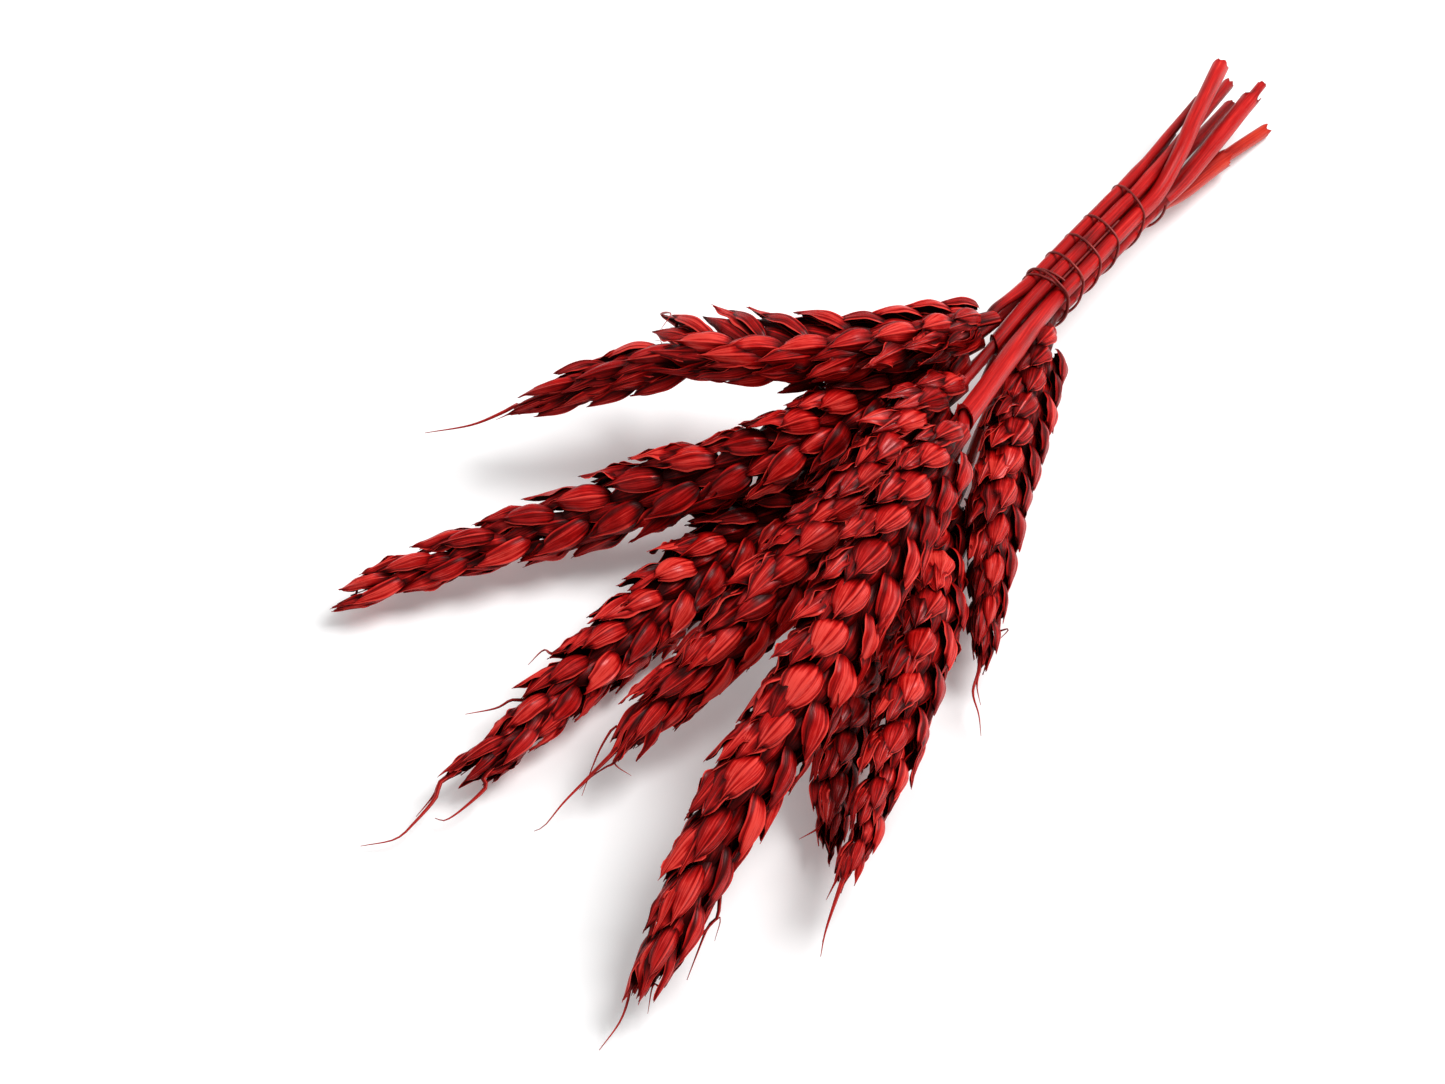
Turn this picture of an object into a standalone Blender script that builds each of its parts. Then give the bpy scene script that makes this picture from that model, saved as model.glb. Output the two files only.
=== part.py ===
"""A bundle of dried wheat, dyed red: eight stalks tied with one thin wire, lying on a surface.

Lengths are metres and +Z is up. The bundle lies along Y, with its ears towards -Y and its cut
ends towards +Y. The origin is the middle of the bundle's footprint, on the surface it lies on.
"""
import math

import bmesh
import bpy
from mathutils import Vector
from mathutils.geometry import convex_hull_2d

MM = 0.001
GAP = 0.3 * MM                      # kept between neighbours that would touch

# ---- where the bundle lies -------------------------------------------------------------------
LAY = Vector((-11.62, -30.91, -0.27)) * MM    # moves the points below to the middle of the footprint

# ---- the tie: a straight stretch in which the eight culms run side by side ---------------------
TIE_NECK = Vector((17.06, 60.56, 16.88)) * MM      # the tie's middle, on the ears' side
TIE_TAIL = Vector((13.9, 98.0, 12.2)) * MM      # its middle, on the side of the cut ends
TIE_FACING = Vector((0.49, 0.0, 0.87))          # the way the tie's top faces
TIE_LENGTH = (TIE_TAIL - TIE_NECK).length
TIE_SHARES = (0.0, 0.25, 0.5, 0.75, 1.0)        # where along it every culm is held in place

LINE_STEPS = 8                      # steps of a smooth line, from each of its points to the next

# ---- culms, the stalks' straws -----------------------------------------------------------------
CULM_SIDES = 8
CULM_STEP = 5.5 * MM                # distance between rings along a culm
TIE_MARGIN = 1.5 * MM               # a culm keeps its radius in the tie this far past it
BORE_DEPTH = 9.0 * MM               # how far the hollow of a cut straw reaches
BORE_SHARE = 0.62                   # bore radius over culm radius
SHEATH_WALL = 0.3 * MM
SLEEVE_DEPTH = 3.0 * MM             # how far a peduncle reaches into the sheath it grows from

# Each stalk: its place across the tie (right, up), its points from the tie to the ear, its
# points across the tie from the tie to the cut end (distance on from the tie, right, up), and
# its radius at the ear, in the tie and at the cut end. All are millimetres.
STALKS = {
    1: dict(slot=(-2.1, 1.5), radii=(0.80, 0.95, 0.80),
            neck=[(16.2, 51.5, 21.4), (16.7, 48.4, 21.8)],
            tail=[(30.5, -3.3, -0.6)]),
    2: dict(slot=(-0.9, -0.8), radii=(0.90, 1.15, 1.00),
            neck=[(14.8, 54.0, 15.7), (14.0, 48.6, 15.3)],
            tail=[(22.0, -2.6, -3.2)]),
    3: dict(slot=(1.3, -2.4), radii=(0.90, 1.15, 0.95),
            neck=[(15.6, 52.0, 11.2), (14.0, 42.0, 8.8), (12.6, 30.0, 6.6), (12.1, 25.8, 6.0)],
            tail=[(25.0, 0.0, -4.6)]),
    4: dict(slot=(0.0, 2.7), radii=(1.25, 1.15, 1.05),
            neck=[(19.0, 54.0, 19.7), (20.0, 45.0, 20.2)],
            tail=[(38.5, -1.5, 0.2)]),
    5: dict(slot=(2.75, 2.95), radii=(1.70, 1.30, 1.45),
            neck=[(24.0, 46.0, 22.0), (28.0, 28.0, 26.0), (29.0, 23.0, 27.0)],
            tail=[(10.0, 0.6, 4.7), (20.0, -1.8, 4.8), (36.0, -4.8, 3.7)]),
    6: dict(slot=(4.0, -2.2), radii=(0.90, 1.15, 1.10),
            neck=[(20.0, 50.0, 9.4), (23.0, 38.0, 8.4), (27.0, 27.5, 9.6),
                  (28.6, 22.0, 10.7)],
            tail=[(12.0, 5.5, -2.4), (25.0, 6.9, -2.0), (39.5, 9.0, -1.8)]),
    7: dict(slot=(1.6, 0.3), radii=(0.80, 1.15, 1.00),
            neck=[(18.5, 50.0, 14.0), (22.0, 35.0, 10.5), (27.0, 18.0, 7.0), (31.0, 5.0, 5.6),
                  (31.8, 2.9, 5.5)],
            tail=[(38.0, 1.4, -2.3)]),
    8: dict(slot=(4.3, 0.5), radii=(0.90, 1.15, 0.85),
            neck=[(22.6, 57.2, 15.0)],
            tail=[(6.0, 4.6, 1.1), (20.0, 4.0, 1.4), (43.0, 2.8, 2.0)]),
}

# Peduncles: the last thin lengths of stalks 4 and 5, which come out of a leaf sheath.
PEDUNCLES = {
    4: dict(radius=0.88, points=[(20.8, 38.0, 20.5), (21.0, 33.6, 20.5)]),
    5: dict(radius=0.95, points=[(30.5, 20.4, 27.6), (31.0, 18.4, 28.0)]),
}

# Leaf sheaths round stalks 6 and 8: where each starts and ends, on from the tie.
SHEATHS = {6: (8.5, 25.4), 8: (8.5, 38.5)}
SHEATH_RADII = {6: 1.82, 8: 1.62}

# ---- ears --------------------------------------------------------------------------------------
# Each ear: the points of its rachis from base to tip (mm), the turn of its two rows about the
# rachis from level (degrees), its number of spikelets and the size of its largest, as a share.
EARS = {
    1: dict(roll=-20.0, spikelets=16, size=1.0,
            rachis=[(16.5, 47.0, 22.2), (10.6, 33.8, 25.0), (-0.8, 21.7, 24.1),
                    (-14.7, 13.9, 22.0), (-27.3, 3.3, 16.8), (-35.0, -3.2, 12.8)]),
    2: dict(roll=40.0, spikelets=22, size=1.0,
            rachis=[(14.0, 47.6, 15.2), (11.0, 31.9, 17.0), (6.9, 11.9, 18.0),
                    (-3.2, -1.8, 14.5), (-14.3, -13.6, 9.5), (-25.3, -28.6, 6.9),
                    (-36.7, -46.7, 4.2)]),
    3: dict(roll=30.0, spikelets=19, size=0.92,
            rachis=[(12.0, 25.0, 6.0), (8.6, 9.6, 5.8), (5.0, -2.8, 5.8), (3.6, -28.0, 6.0),
                    (2.7, -41.0, 6.0), (2.4, -52.3, 5.5), (0.0, -64.0, 4.5)]),
    4: dict(roll=62.0, spikelets=18, size=1.0,
            rachis=[(21.0, 32.6, 20.5), (21.0, 22.0, 21.0), (22.0, 6.0, 19.0),
                    (21.0, -12.0, 16.0), (20.0, -27.0, 13.0), (18.0, -37.0, 10.5),
                    (19.0, -47.0, 8.0)]),
    5: dict(roll=48.0, spikelets=20, size=1.08,
            rachis=[(31.2, 17.4, 28.1), (33.0, 5.0, 28.0), (35.0, -8.0, 26.0),
                    (37.4, -23.8, 22.0), (38.8, -35.5, 18.5), (40.0, -49.4, 15.0),
                    (42.0, -61.4, 11.0), (45.4, -77.8, 6.0)]),
    6: dict(roll=100.0, spikelets=16, size=0.95,
            rachis=[(29.0, 21.0, 11.0), (33.0, 10.0, 12.0), (38.8, 1.6, 13.0),
                    (47.9, -18.4, 13.0), (53.8, -34.4, 12.0), (59.2, -50.8, 9.0)]),
    7: dict(roll=70.0, spikelets=11, size=0.85,
            rachis=[(32.1, 2.0, 5.5), (37.0, -14.0, 5.5), (43.0, -29.0, 5.0),
                    (51.0, -42.0, 4.2)]),
    8: dict(roll=95.0, spikelets=16, size=0.85,
            rachis=[(23.0, 56.2, 15.0), (29.3, 39.6, 13.5), (35.6, 24.3, 12.0),
                    (42.5, 11.5, 9.0), (50.0, -2.0, 6.0)]),
}
SPIKELET_LENGTH = 12.0 * MM
SPIKELET_WIDTH = 9.0 * MM           # across the two rows' plane
SPIKELET_DEPTH = 5.8 * MM           # outwards from the rachis
SPIKELET_LEAN = math.radians(20.0)  # from the rachis, outwards
SPIKELET_OFFSET = 1.5 * MM          # a spikelet's foot stands this far out from the rachis
RACHIS_RADIUS = 1.0 * MM
RACHIS_SIDES = 6
# A spikelet's outline: share of its length, and share of its width and depth there.
SPIKELET_OUTLINE = [(0.22, 0.86), (0.50, 1.00), (0.80, 0.55)]
SPIKELET_SIDES = 6
# Spikelets are small at the foot of an ear and at its tip: place along the ear, size.
SIZE_ALONG = [(0.0, 0.42), (0.12, 0.64), (0.30, 0.96), (0.60, 1.0), (0.85, 0.84), (1.0, 0.62)]

# ---- the binding wire --------------------------------------------------------------------------
WIRE_RADIUS = 0.25 * MM
WIRE_SIDES = 6
WIRE_STEPS_PER_TURN = 22
WIRE_CLEAR = 0.3 * MM               # kept between the wire and the culms under it
WIRE_TAIL_GROOVE = (1.25, 3.86)     # the wire's first length lies in the groove of culms 4 and 5
WIRE_TAIL_RUN = (25.0, 4.6)         # where on the tie (mm from its neck) that length starts, ends
# The winding: turns made so far, place on the tie (mm from its neck), lift over the hull (mm).
WIRE_WINDING = [(0.0, 3.9, 0.0), (1.0, 2.0, 0.0), (1.5, 1.2, 0.35), (2.0, 2.0, 0.9),
                (2.6, 5.4, 0.6), (3.2, 9.3, 0.2), (4.2, 15.8, 0.0), (5.2, 22.4, 0.0),
                (6.2, 33.2, 0.0), (6.5, 35.8, 0.6), (6.85, 37.6, 0.8)]
WIRE_FIRST_ANGLE = math.radians(88.0)

RED_STRAW = (0.55, 0.015, 0.018, 1.0)
RED_HUSK = (0.36, 0.008, 0.010, 1.0)
DARK_WIRE = (0.10, 0.018, 0.016, 1.0)


def point(x, y, z):
    """A point of the layout, given in millimetres, in the part's own frame."""
    return Vector((x, y, z)) * MM + LAY


def tie_frame():
    """The tie's axis, and the ways right and up across it."""
    axis = (TIE_TAIL - TIE_NECK).normalized()
    right = axis.cross(TIE_FACING).normalized()
    return axis, right, right.cross(axis)


TIE_AXIS, TIE_RIGHT, TIE_UP = tie_frame()


def in_tie(along, right, up):
    """The point at a distance along the tie from its neck, and right and up across it."""
    return TIE_NECK + LAY + TIE_AXIS * along + TIE_RIGHT * right + TIE_UP * up


def read_table(table, at):
    """The value of a table of (place, value) pairs, with straight runs between them."""
    for (p0, v0), (p1, v1) in zip(table, table[1:]):
        if at <= p1:
            return v0 + (v1 - v0) * max(0.0, at - p0) / (p1 - p0)
    return table[-1][1]


def smooth_line(points, steps=LINE_STEPS):
    """A smooth curve through the points, with several steps from each to the next."""
    ends = [points[0] * 2 - points[1]] + list(points) + [points[-1] * 2 - points[-2]]
    line = []
    for p0, p1, p2, p3 in zip(ends, ends[1:], ends[2:], ends[3:]):
        for k in range(steps):
            t = k / steps
            line.append(0.5 * (2 * p1 + (p2 - p0) * t + (2 * p0 - 5 * p1 + 4 * p2 - p3) * t ** 2
                               + (3 * p1 - p0 - 3 * p2 + p3) * t ** 3))
    return line + [points[-1].copy()]


def run_lengths(line):
    """The distance travelled at each point of a line."""
    run = [0.0]
    for a, b in zip(line, line[1:]):
        run.append(run[-1] + (b - a).length)
    return run


def point_on(line, run, distance):
    """The point of a line at a distance from its start, and the way it runs there."""
    k = 0
    while k < len(line) - 2 and run[k + 1] < distance:
        k += 1
    share = (distance - run[k]) / (run[k + 1] - run[k])
    return line[k].lerp(line[k + 1], share), (line[k + 1] - line[k]).normalized()


def even_line(line, count):
    """The same line with count points, evenly spaced."""
    run = run_lengths(line)
    return [point_on(line, run, run[-1] * k / (count - 1))[0] for k in range(count)]


def ring_frames(line):
    """Two crosswise directions at each point of a line, turning as little as they can."""
    ways = [(b - a).normalized() for a, b in zip(line, line[1:])]
    ways = [ways[0]] + [(a + b).normalized() for a, b in zip(ways, ways[1:])] + [ways[-1]]
    side = ways[0].orthogonal().normalized()
    frames = []
    for way in ways:
        side = (side - way * side.dot(way)).normalized()
        frames.append((side, way.cross(side)))
    return frames


def add_material(thing, colour, roughness, metallic=0.0):
    """A Principled material of the part's own."""
    material = bpy.data.materials.new(thing.name + "_finish")
    material.use_nodes = True
    shader = material.node_tree.nodes["Principled BSDF"]
    shader.inputs["Base Color"].default_value = colour
    shader.inputs["Roughness"].default_value = roughness
    shader.inputs["Metallic"].default_value = metallic
    thing.data.materials.append(material)


def add_object(name, mesh_points, faces):
    """A new object whose faces point out, shaded smooth over its shallow edges."""
    mesh = bpy.data.meshes.new(name)
    mesh.from_pydata([tuple(p) for p in mesh_points], [], faces)
    bm = bmesh.new()
    bm.from_mesh(mesh)
    bmesh.ops.recalc_face_normals(bm, faces=bm.faces)
    bm.to_mesh(mesh)
    bm.free()
    mesh.shade_smooth()
    mesh.set_sharp_from_angle(angle=math.radians(50.0))
    thing = bpy.data.objects.new(name, mesh)
    bpy.context.scene.collection.objects.link(thing)
    return thing


def skin_rings(rings, closed):
    """Points and faces of a skin over rings of equal count: capped, or joined end to end."""
    sides = len(rings[0])
    points = [p for ring in rings for p in ring]
    faces = []
    spans = len(rings) if closed else len(rings) - 1
    for r in range(spans):
        here, there = r * sides, (r + 1) % len(rings) * sides
        for k in range(sides):
            n = (k + 1) % sides
            faces.append((here + k, here + n, there + n, there + k))
    if not closed:
        faces.append(tuple(reversed(range(sides))))
        faces.append(tuple(range(len(points) - sides, len(points))))
    return points, faces


def ring_at(centre, frame, radius, sides):
    """A ring of points round a centre."""
    turns = [2 * math.pi * k / sides for k in range(sides)]
    return [centre + (frame[0] * math.cos(t) + frame[1] * math.sin(t)) * radius for t in turns]


def add_tube(name, line, radii, sides):
    """A solid rod along a line."""
    frames = ring_frames(line)
    rings = [ring_at(p, f, r, sides) for p, f, r in zip(line, frames, radii)]
    return add_object(name, *skin_rings(rings, closed=False))


# ---- culms, peduncles and sheaths ---------------------------------------------------------------
def culm_line(stalk):
    """A culm's smooth line from its ear to its cut end, and its radius along it."""
    neck = [point(*p) for p in reversed(stalk["neck"])]
    inside = [in_tie(TIE_LENGTH * share, *(v * MM for v in stalk["slot"]))
              for share in TIE_SHARES]
    tail = [in_tie(TIE_LENGTH + on * MM, right * MM, up * MM) for on, right, up in stalk["tail"]]
    line = smooth_line(neck + inside + tail)
    run = run_lengths(line)
    neck_run = run[len(neck) * LINE_STEPS]
    tail_run = run[(len(neck) + len(TIE_SHARES) - 1) * LINE_STEPS]
    ear_radius, tie_radius, cut_radius = (r * MM for r in stalk["radii"])
    held = [neck_run - TIE_MARGIN, tail_run + TIE_MARGIN]
    radius_along = [(0.0, ear_radius), (held[0] * 0.55, ear_radius), (held[0], tie_radius),
                    (held[1], tie_radius), (held[1] + 5.0 * MM, cut_radius),
                    (run[-1], cut_radius)]
    return line, radius_along, tail_run


def culm_places(radius_along):
    """Where along a culm its rings stand: at each change of its radius, and between them."""
    marks = [place for place, _ in radius_along]
    places = [marks[0]]
    for a, b in zip(marks, marks[1:]):
        count = max(1, round((b - a) / CULM_STEP))
        places += [a + (b - a) * (k + 1) / count for k in range(count)]
    return places


def add_culm(number):
    """A straw: solid at the ear and through the tie, hollow and open at its cut end."""
    fine_line, radius_along, _ = culm_line(STALKS[number])
    fine_run = run_lengths(fine_line)
    places = culm_places(radius_along)
    line = [point_on(fine_line, fine_run, place)[0] for place in places]
    radii = [read_table(radius_along, place) for place in places]
    frames = ring_frames(line)
    rings = [ring_at(p, f, r, CULM_SIDES) for p, f, r in zip(line, frames, radii)]
    bore = radii[-1] * BORE_SHARE
    floor_centre, _ = point_on(fine_line, fine_run, fine_run[-1] - BORE_DEPTH)
    rings.append(ring_at(line[-1], frames[-1], bore, CULM_SIDES))
    rings.append(ring_at(floor_centre, frames[-2], bore, CULM_SIDES))
    culm = add_object("culm_%d" % number, *skin_rings(rings, closed=False))
    add_material(culm, RED_STRAW, 0.5)


def add_sleeve_hole(culm, start, way, radius):
    """The mouth of the sheath at a culm's upper end, which a peduncle comes out of."""
    line = [start + way * 1.0 * MM, start - way * (SLEEVE_DEPTH + GAP)]
    cutter = add_tube(culm.name + "_mouth", line, [radius] * 2, CULM_SIDES)
    cutter.hide_render = True
    cutter.display_type = "WIRE"
    cut = culm.modifiers.new("mouth", "BOOLEAN")
    cut.operation = "DIFFERENCE"
    cut.solver = "EXACT"
    cut.object = cutter


def add_peduncle(number):
    """The thin last length of a stalk, set into the mouth of its sheath."""
    culm = bpy.data.objects["culm_%d" % number]
    start = point(*STALKS[number]["neck"][-1])
    before = point(*STALKS[number]["neck"][-2])
    way = (start - before).normalized()
    radius = PEDUNCLES[number]["radius"] * MM
    add_sleeve_hole(culm, start, way, radius + GAP)
    foot = start - way * SLEEVE_DEPTH
    points = [foot, start] + [point(*p) for p in PEDUNCLES[number]["points"]]
    line = [foot] + even_line(smooth_line(points[1:]), 5)
    peduncle = add_tube("peduncle_%d" % number, line, [radius] * len(line), CULM_SIDES)
    add_material(peduncle, RED_STRAW, 0.5)


def add_sheath(number):
    """A leaf sheath: a thin open tube round a culm, from just past the tie towards its cut end."""
    line, radius_along, tail_run = culm_line(STALKS[number])
    run = run_lengths(line)
    start, end = (tail_run + place * MM for place in SHEATHS[number])
    count = max(3, round((end - start) / CULM_STEP) + 1)
    places = [start + (end - start) * k / (count - 1) for k in range(count)]
    middle = [point_on(line, run, place)[0] for place in places]
    frames = ring_frames(middle)
    outer = SHEATH_RADII[number] * MM
    rings = [ring_at(p, f, outer, CULM_SIDES) for p, f in zip(middle, frames)]
    rings += [ring_at(p, f, outer - SHEATH_WALL, CULM_SIDES)
              for p, f in zip(reversed(middle), reversed(frames))]
    sheath = add_object("leaf_sheath_%d" % number, *skin_rings(rings, closed=True))
    add_material(sheath, RED_STRAW, 0.55)


# ---- ears --------------------------------------------------------------------------------------
def rachis_frame(way, roll):
    """At a rachis: the way its rows point, and the way its two flat sides face."""
    up = Vector((0.0, 0.0, 1.0))
    up = (up - way * up.dot(way)).normalized()
    level = way.cross(up)
    row = level * math.cos(roll) + up * math.sin(roll)
    return row, way.cross(row)


def spikelet_places(ear):
    """Foot, outward way, growing way, width way and size of each spikelet of an ear."""
    line = smooth_line([point(*p) for p in ear["rachis"]])
    run = run_lengths(line)
    count = ear["spikelets"]
    reach = run[-1] - 0.55 * SPIKELET_LENGTH
    places = []
    for k in range(count):
        share = k / (count - 1)
        along = reach * (0.72 * share + 0.28 * share ** 2)
        centre, way = point_on(line, run, along)
        row, flat = rachis_frame(way, math.radians(ear["roll"]))
        outward = row if k % 2 == 0 else -row
        if k == count - 1:
            outward = row * 0.0
        lean = SPIKELET_LEAN if k < count - 1 else 0.0
        grow = way * math.cos(lean) + outward * math.sin(lean)
        size = ear["size"] * read_table(SIZE_ALONG, share)
        places.append((centre + outward * SPIKELET_OFFSET * size, grow, flat, size))
    return line, places


def add_spikelet(name, foot, grow, flat, size):
    """One spikelet as a plain bud: a point, three rings and a point."""
    deep = grow.cross(flat).normalized()
    rings = []
    for along, share in SPIKELET_OUTLINE:
        centre = foot + grow * along * SPIKELET_LENGTH * size
        width = 0.5 * SPIKELET_WIDTH * share * size
        depth = 0.5 * SPIKELET_DEPTH * share * size
        turns = [2 * math.pi * (k + 0.5) / SPIKELET_SIDES for k in range(SPIKELET_SIDES)]
        rings.append([centre + flat * math.cos(t) * width + deep * math.sin(t) * depth
                      for t in turns])
    points, faces = skin_rings(rings, closed=False)
    faces = faces[:-2]
    points += [foot, foot + grow * SPIKELET_LENGTH * size]
    first, last = len(points) - 2, len(points) - 1
    top = len(points) - 2 - SPIKELET_SIDES
    for k in range(SPIKELET_SIDES):
        n = (k + 1) % SPIKELET_SIDES
        faces.append((first, n, k))
        faces.append((last, top + k, top + n))
    return add_object(name, points, faces)


def add_ear(number):
    """An ear: its rachis and all its spikelets, grown together as one solid."""
    ear = EARS[number]
    line, places = spikelet_places(ear)
    stem = even_line(line, 9)
    radii = [RACHIS_RADIUS * (1.0 - 0.05 * k) for k in range(len(stem))]
    body = add_tube("ear_%d" % number, stem, radii, RACHIS_SIDES)
    add_material(body, RED_HUSK, 0.5)
    buds = bpy.data.collections.new("spikelets_%d" % number)
    for k, (foot, grow, flat, size) in enumerate(places):
        bud = add_spikelet("spikelet_%d_%02d" % (number, k + 1), foot, grow, flat, size)
        bpy.context.scene.collection.objects.unlink(bud)
        buds.objects.link(bud)
        bud.hide_render = True
        bud.display_type = "WIRE"
    bpy.context.scene.collection.children.link(buds)
    grown = body.modifiers.new("spikelets", "BOOLEAN")
    grown.operation = "UNION"
    grown.solver = "EXACT"
    grown.operand_type = "COLLECTION"
    grown.collection = buds


# ---- the binding wire --------------------------------------------------------------------------
def tie_hull():
    """The outline that a wire drawn tight round the tied culms follows, as points across it."""
    rim = []
    for stalk in STALKS.values():
        reach = (stalk["radii"][1] * MM + WIRE_CLEAR + WIRE_RADIUS)
        for k in range(32):
            turn = 2 * math.pi * k / 32
            rim.append(Vector((stalk["slot"][0] * MM + math.cos(turn) * reach,
                               stalk["slot"][1] * MM + math.sin(turn) * reach)))
    return [rim[k] for k in convex_hull_2d(rim)]


def hull_reach(hull, middle, turn):
    """How far the hull lies from its middle, in the direction of a turn."""
    way = Vector((math.cos(turn), math.sin(turn)))
    for a, b in zip(hull, hull[1:] + hull[:1]):
        edge = b - a
        across = way.x * edge.y - way.y * edge.x
        if abs(across) < 1e-12:
            continue
        reach = ((a.x - middle.x) * edge.y - (a.y - middle.y) * edge.x) / across
        share = ((a.x - middle.x) * way.y - (a.y - middle.y) * way.x) / across
        if reach > 0.0 and -1e-6 <= share <= 1.0 + 1e-6:
            return reach
    return 0.0


def wire_line():
    """The wire's line: a straight start in a groove, then turns wound back over it."""
    hull = tie_hull()
    middle = sum(hull, Vector((0.0, 0.0))) / len(hull)
    line = [in_tie(place * MM, WIRE_TAIL_GROOVE[0] * MM, WIRE_TAIL_GROOVE[1] * MM)
            for place in WIRE_TAIL_RUN]
    turns_all = WIRE_WINDING[-1][0]
    steps = round(turns_all * WIRE_STEPS_PER_TURN)
    places = [(turn, place) for turn, place, lift in WIRE_WINDING]
    lifts = [(turn, lift) for turn, place, lift in WIRE_WINDING]
    for k in range(steps + 1):
        made = turns_all * k / steps
        turn = WIRE_FIRST_ANGLE + 2 * math.pi * made
        reach = hull_reach(hull, middle, turn) + read_table(lifts, made) * MM
        line.append(in_tie(read_table(places, made) * MM, middle.x + math.cos(turn) * reach,
                           middle.y + math.sin(turn) * reach))
    return line


def add_wire():
    """The thin wire that holds the bundle."""
    line = wire_line()
    wire = add_tube("binding_wire", line, [WIRE_RADIUS] * len(line), WIRE_SIDES)
    add_material(wire, DARK_WIRE, 0.4, metallic=0.6)


def build():
    """Clears the scene and makes the bundle."""
    for thing in list(bpy.data.objects):
        bpy.data.objects.remove(thing, do_unlink=True)
    for number in STALKS:
        add_culm(number)
    for number in PEDUNCLES:
        add_peduncle(number)
    for number in SHEATHS:
        add_sheath(number)
    for number in EARS:
        add_ear(number)
    add_wire()


build()
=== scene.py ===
# %% [markdown]
# A bundle of dried wheat, dyed red
#
# Eight stalks of wheat lie on a table, dyed deep red and tied together with one thin wire. Every
# stalk is a hollow straw that ends in an ear, and every ear is a zigzag spine with two rows of
# spikelets. A spikelet is a little fan of dry husks. We start from a plain measured model of the
# bundle, which gives the place and size of everything, and make the fine shapes and finishes here.

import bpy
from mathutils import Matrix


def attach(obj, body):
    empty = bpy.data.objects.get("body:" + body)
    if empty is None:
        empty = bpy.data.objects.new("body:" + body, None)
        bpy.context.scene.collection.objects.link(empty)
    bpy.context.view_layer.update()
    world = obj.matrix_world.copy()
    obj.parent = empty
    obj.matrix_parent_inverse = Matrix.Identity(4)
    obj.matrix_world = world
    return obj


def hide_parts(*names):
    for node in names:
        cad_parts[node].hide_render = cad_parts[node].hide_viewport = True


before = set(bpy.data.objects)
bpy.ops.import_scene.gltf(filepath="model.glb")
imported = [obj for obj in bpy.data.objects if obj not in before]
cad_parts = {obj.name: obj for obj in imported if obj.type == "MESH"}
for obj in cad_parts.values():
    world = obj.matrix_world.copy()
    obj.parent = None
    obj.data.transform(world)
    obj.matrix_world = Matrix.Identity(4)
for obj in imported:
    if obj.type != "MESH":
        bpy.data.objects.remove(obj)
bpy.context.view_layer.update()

# %% [markdown]
# The bundle was laid out in millimetres round a point between the ears. Blender works in metres,
# so one number turns the one into the other, and one vector moves the layout to where the plain
# model stands. All the random choices below come from seeded generators, so that the bundle grows
# the same way every time.

# %% Units and the layout's middle
import math
import random

import bpy
import numpy as np
from mathutils import Vector
from mathutils.geometry import convex_hull_2d

MM = 0.001
LAY = Vector((-11.62, -30.91, -0.27)) * MM


def point(x, y, z):
    """A point of the layout, given in millimetres, in the model's own frame."""
    return Vector((x, y, z)) * MM + LAY


print("layout middle, in metres:", [round(v, 5) for v in LAY])

# %% [markdown]
# A straw, a wire and an ear's spine are all thin things that follow a line. These helpers make a
# smooth line through a few chosen points, measure along it, and give two crosswise directions at
# each of its points that turn as little as they can, so that a tube round it isn't twisted.

# %% Lines
LINE_STEPS = 8


def smooth_line(points, steps=LINE_STEPS):
    """A smooth curve through the points, with several steps from each to the next."""
    ends = [points[0] * 2 - points[1]] + list(points) + [points[-1] * 2 - points[-2]]
    line = []
    for p0, p1, p2, p3 in zip(ends, ends[1:], ends[2:], ends[3:]):
        for k in range(steps):
            t = k / steps
            line.append(0.5 * (2 * p1 + (p2 - p0) * t + (2 * p0 - 5 * p1 + 4 * p2 - p3) * t ** 2
                               + (3 * p1 - p0 - 3 * p2 + p3) * t ** 3))
    return line + [points[-1].copy()]


def run_lengths(line):
    """The distance travelled at each point of a line."""
    run = [0.0]
    for a, b in zip(line, line[1:]):
        run.append(run[-1] + (b - a).length)
    return run


def point_on(line, run, distance):
    """The point of a line at a distance from its start, and the way it runs there."""
    k = 0
    while k < len(line) - 2 and run[k + 1] < distance:
        k += 1
    share = (distance - run[k]) / (run[k + 1] - run[k])
    return line[k].lerp(line[k + 1], share), (line[k + 1] - line[k]).normalized()


def even_line(line, count):
    """The same line with count points, evenly spaced."""
    run = run_lengths(line)
    return [point_on(line, run, run[-1] * k / (count - 1))[0] for k in range(count)]


def read_table(table, at):
    """The value of a table of (place, value) pairs, with straight runs between them."""
    for (p0, v0), (p1, v1) in zip(table, table[1:]):
        if at <= p1:
            return v0 + (v1 - v0) * max(0.0, at - p0) / (p1 - p0)
    return table[-1][1]


def ring_frames(line):
    """The way a line runs at each point, and two crosswise directions that turn little."""
    ways = [(b - a).normalized() for a, b in zip(line, line[1:])]
    ways = [ways[0]] + [(a + b).normalized() for a, b in zip(ways, ways[1:])] + [ways[-1]]
    side = ways[0].orthogonal().normalized()
    frames = []
    for way in ways:
        side = (side - way * side.dot(way)).normalized()
        frames.append((way, side, way.cross(side)))
    return frames


print("a smooth line through 3 points has", len(smooth_line([Vector((k, k * k, 0)) for k in range(3)])))

# %% [markdown]
# Everything in the bundle, from a husk to a straw, is skinned the same way: rings of points, one
# after another, joined into a closed skin. A husk is a flattened ring that runs along its back
# from edge to edge, and then back again along its inner face. The faces are quads between each
# ring and the next, and more quads that close the first and the last ring. We make them as arrays
# of numbers, because that is much faster than adding the many small faces one by one.

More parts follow.
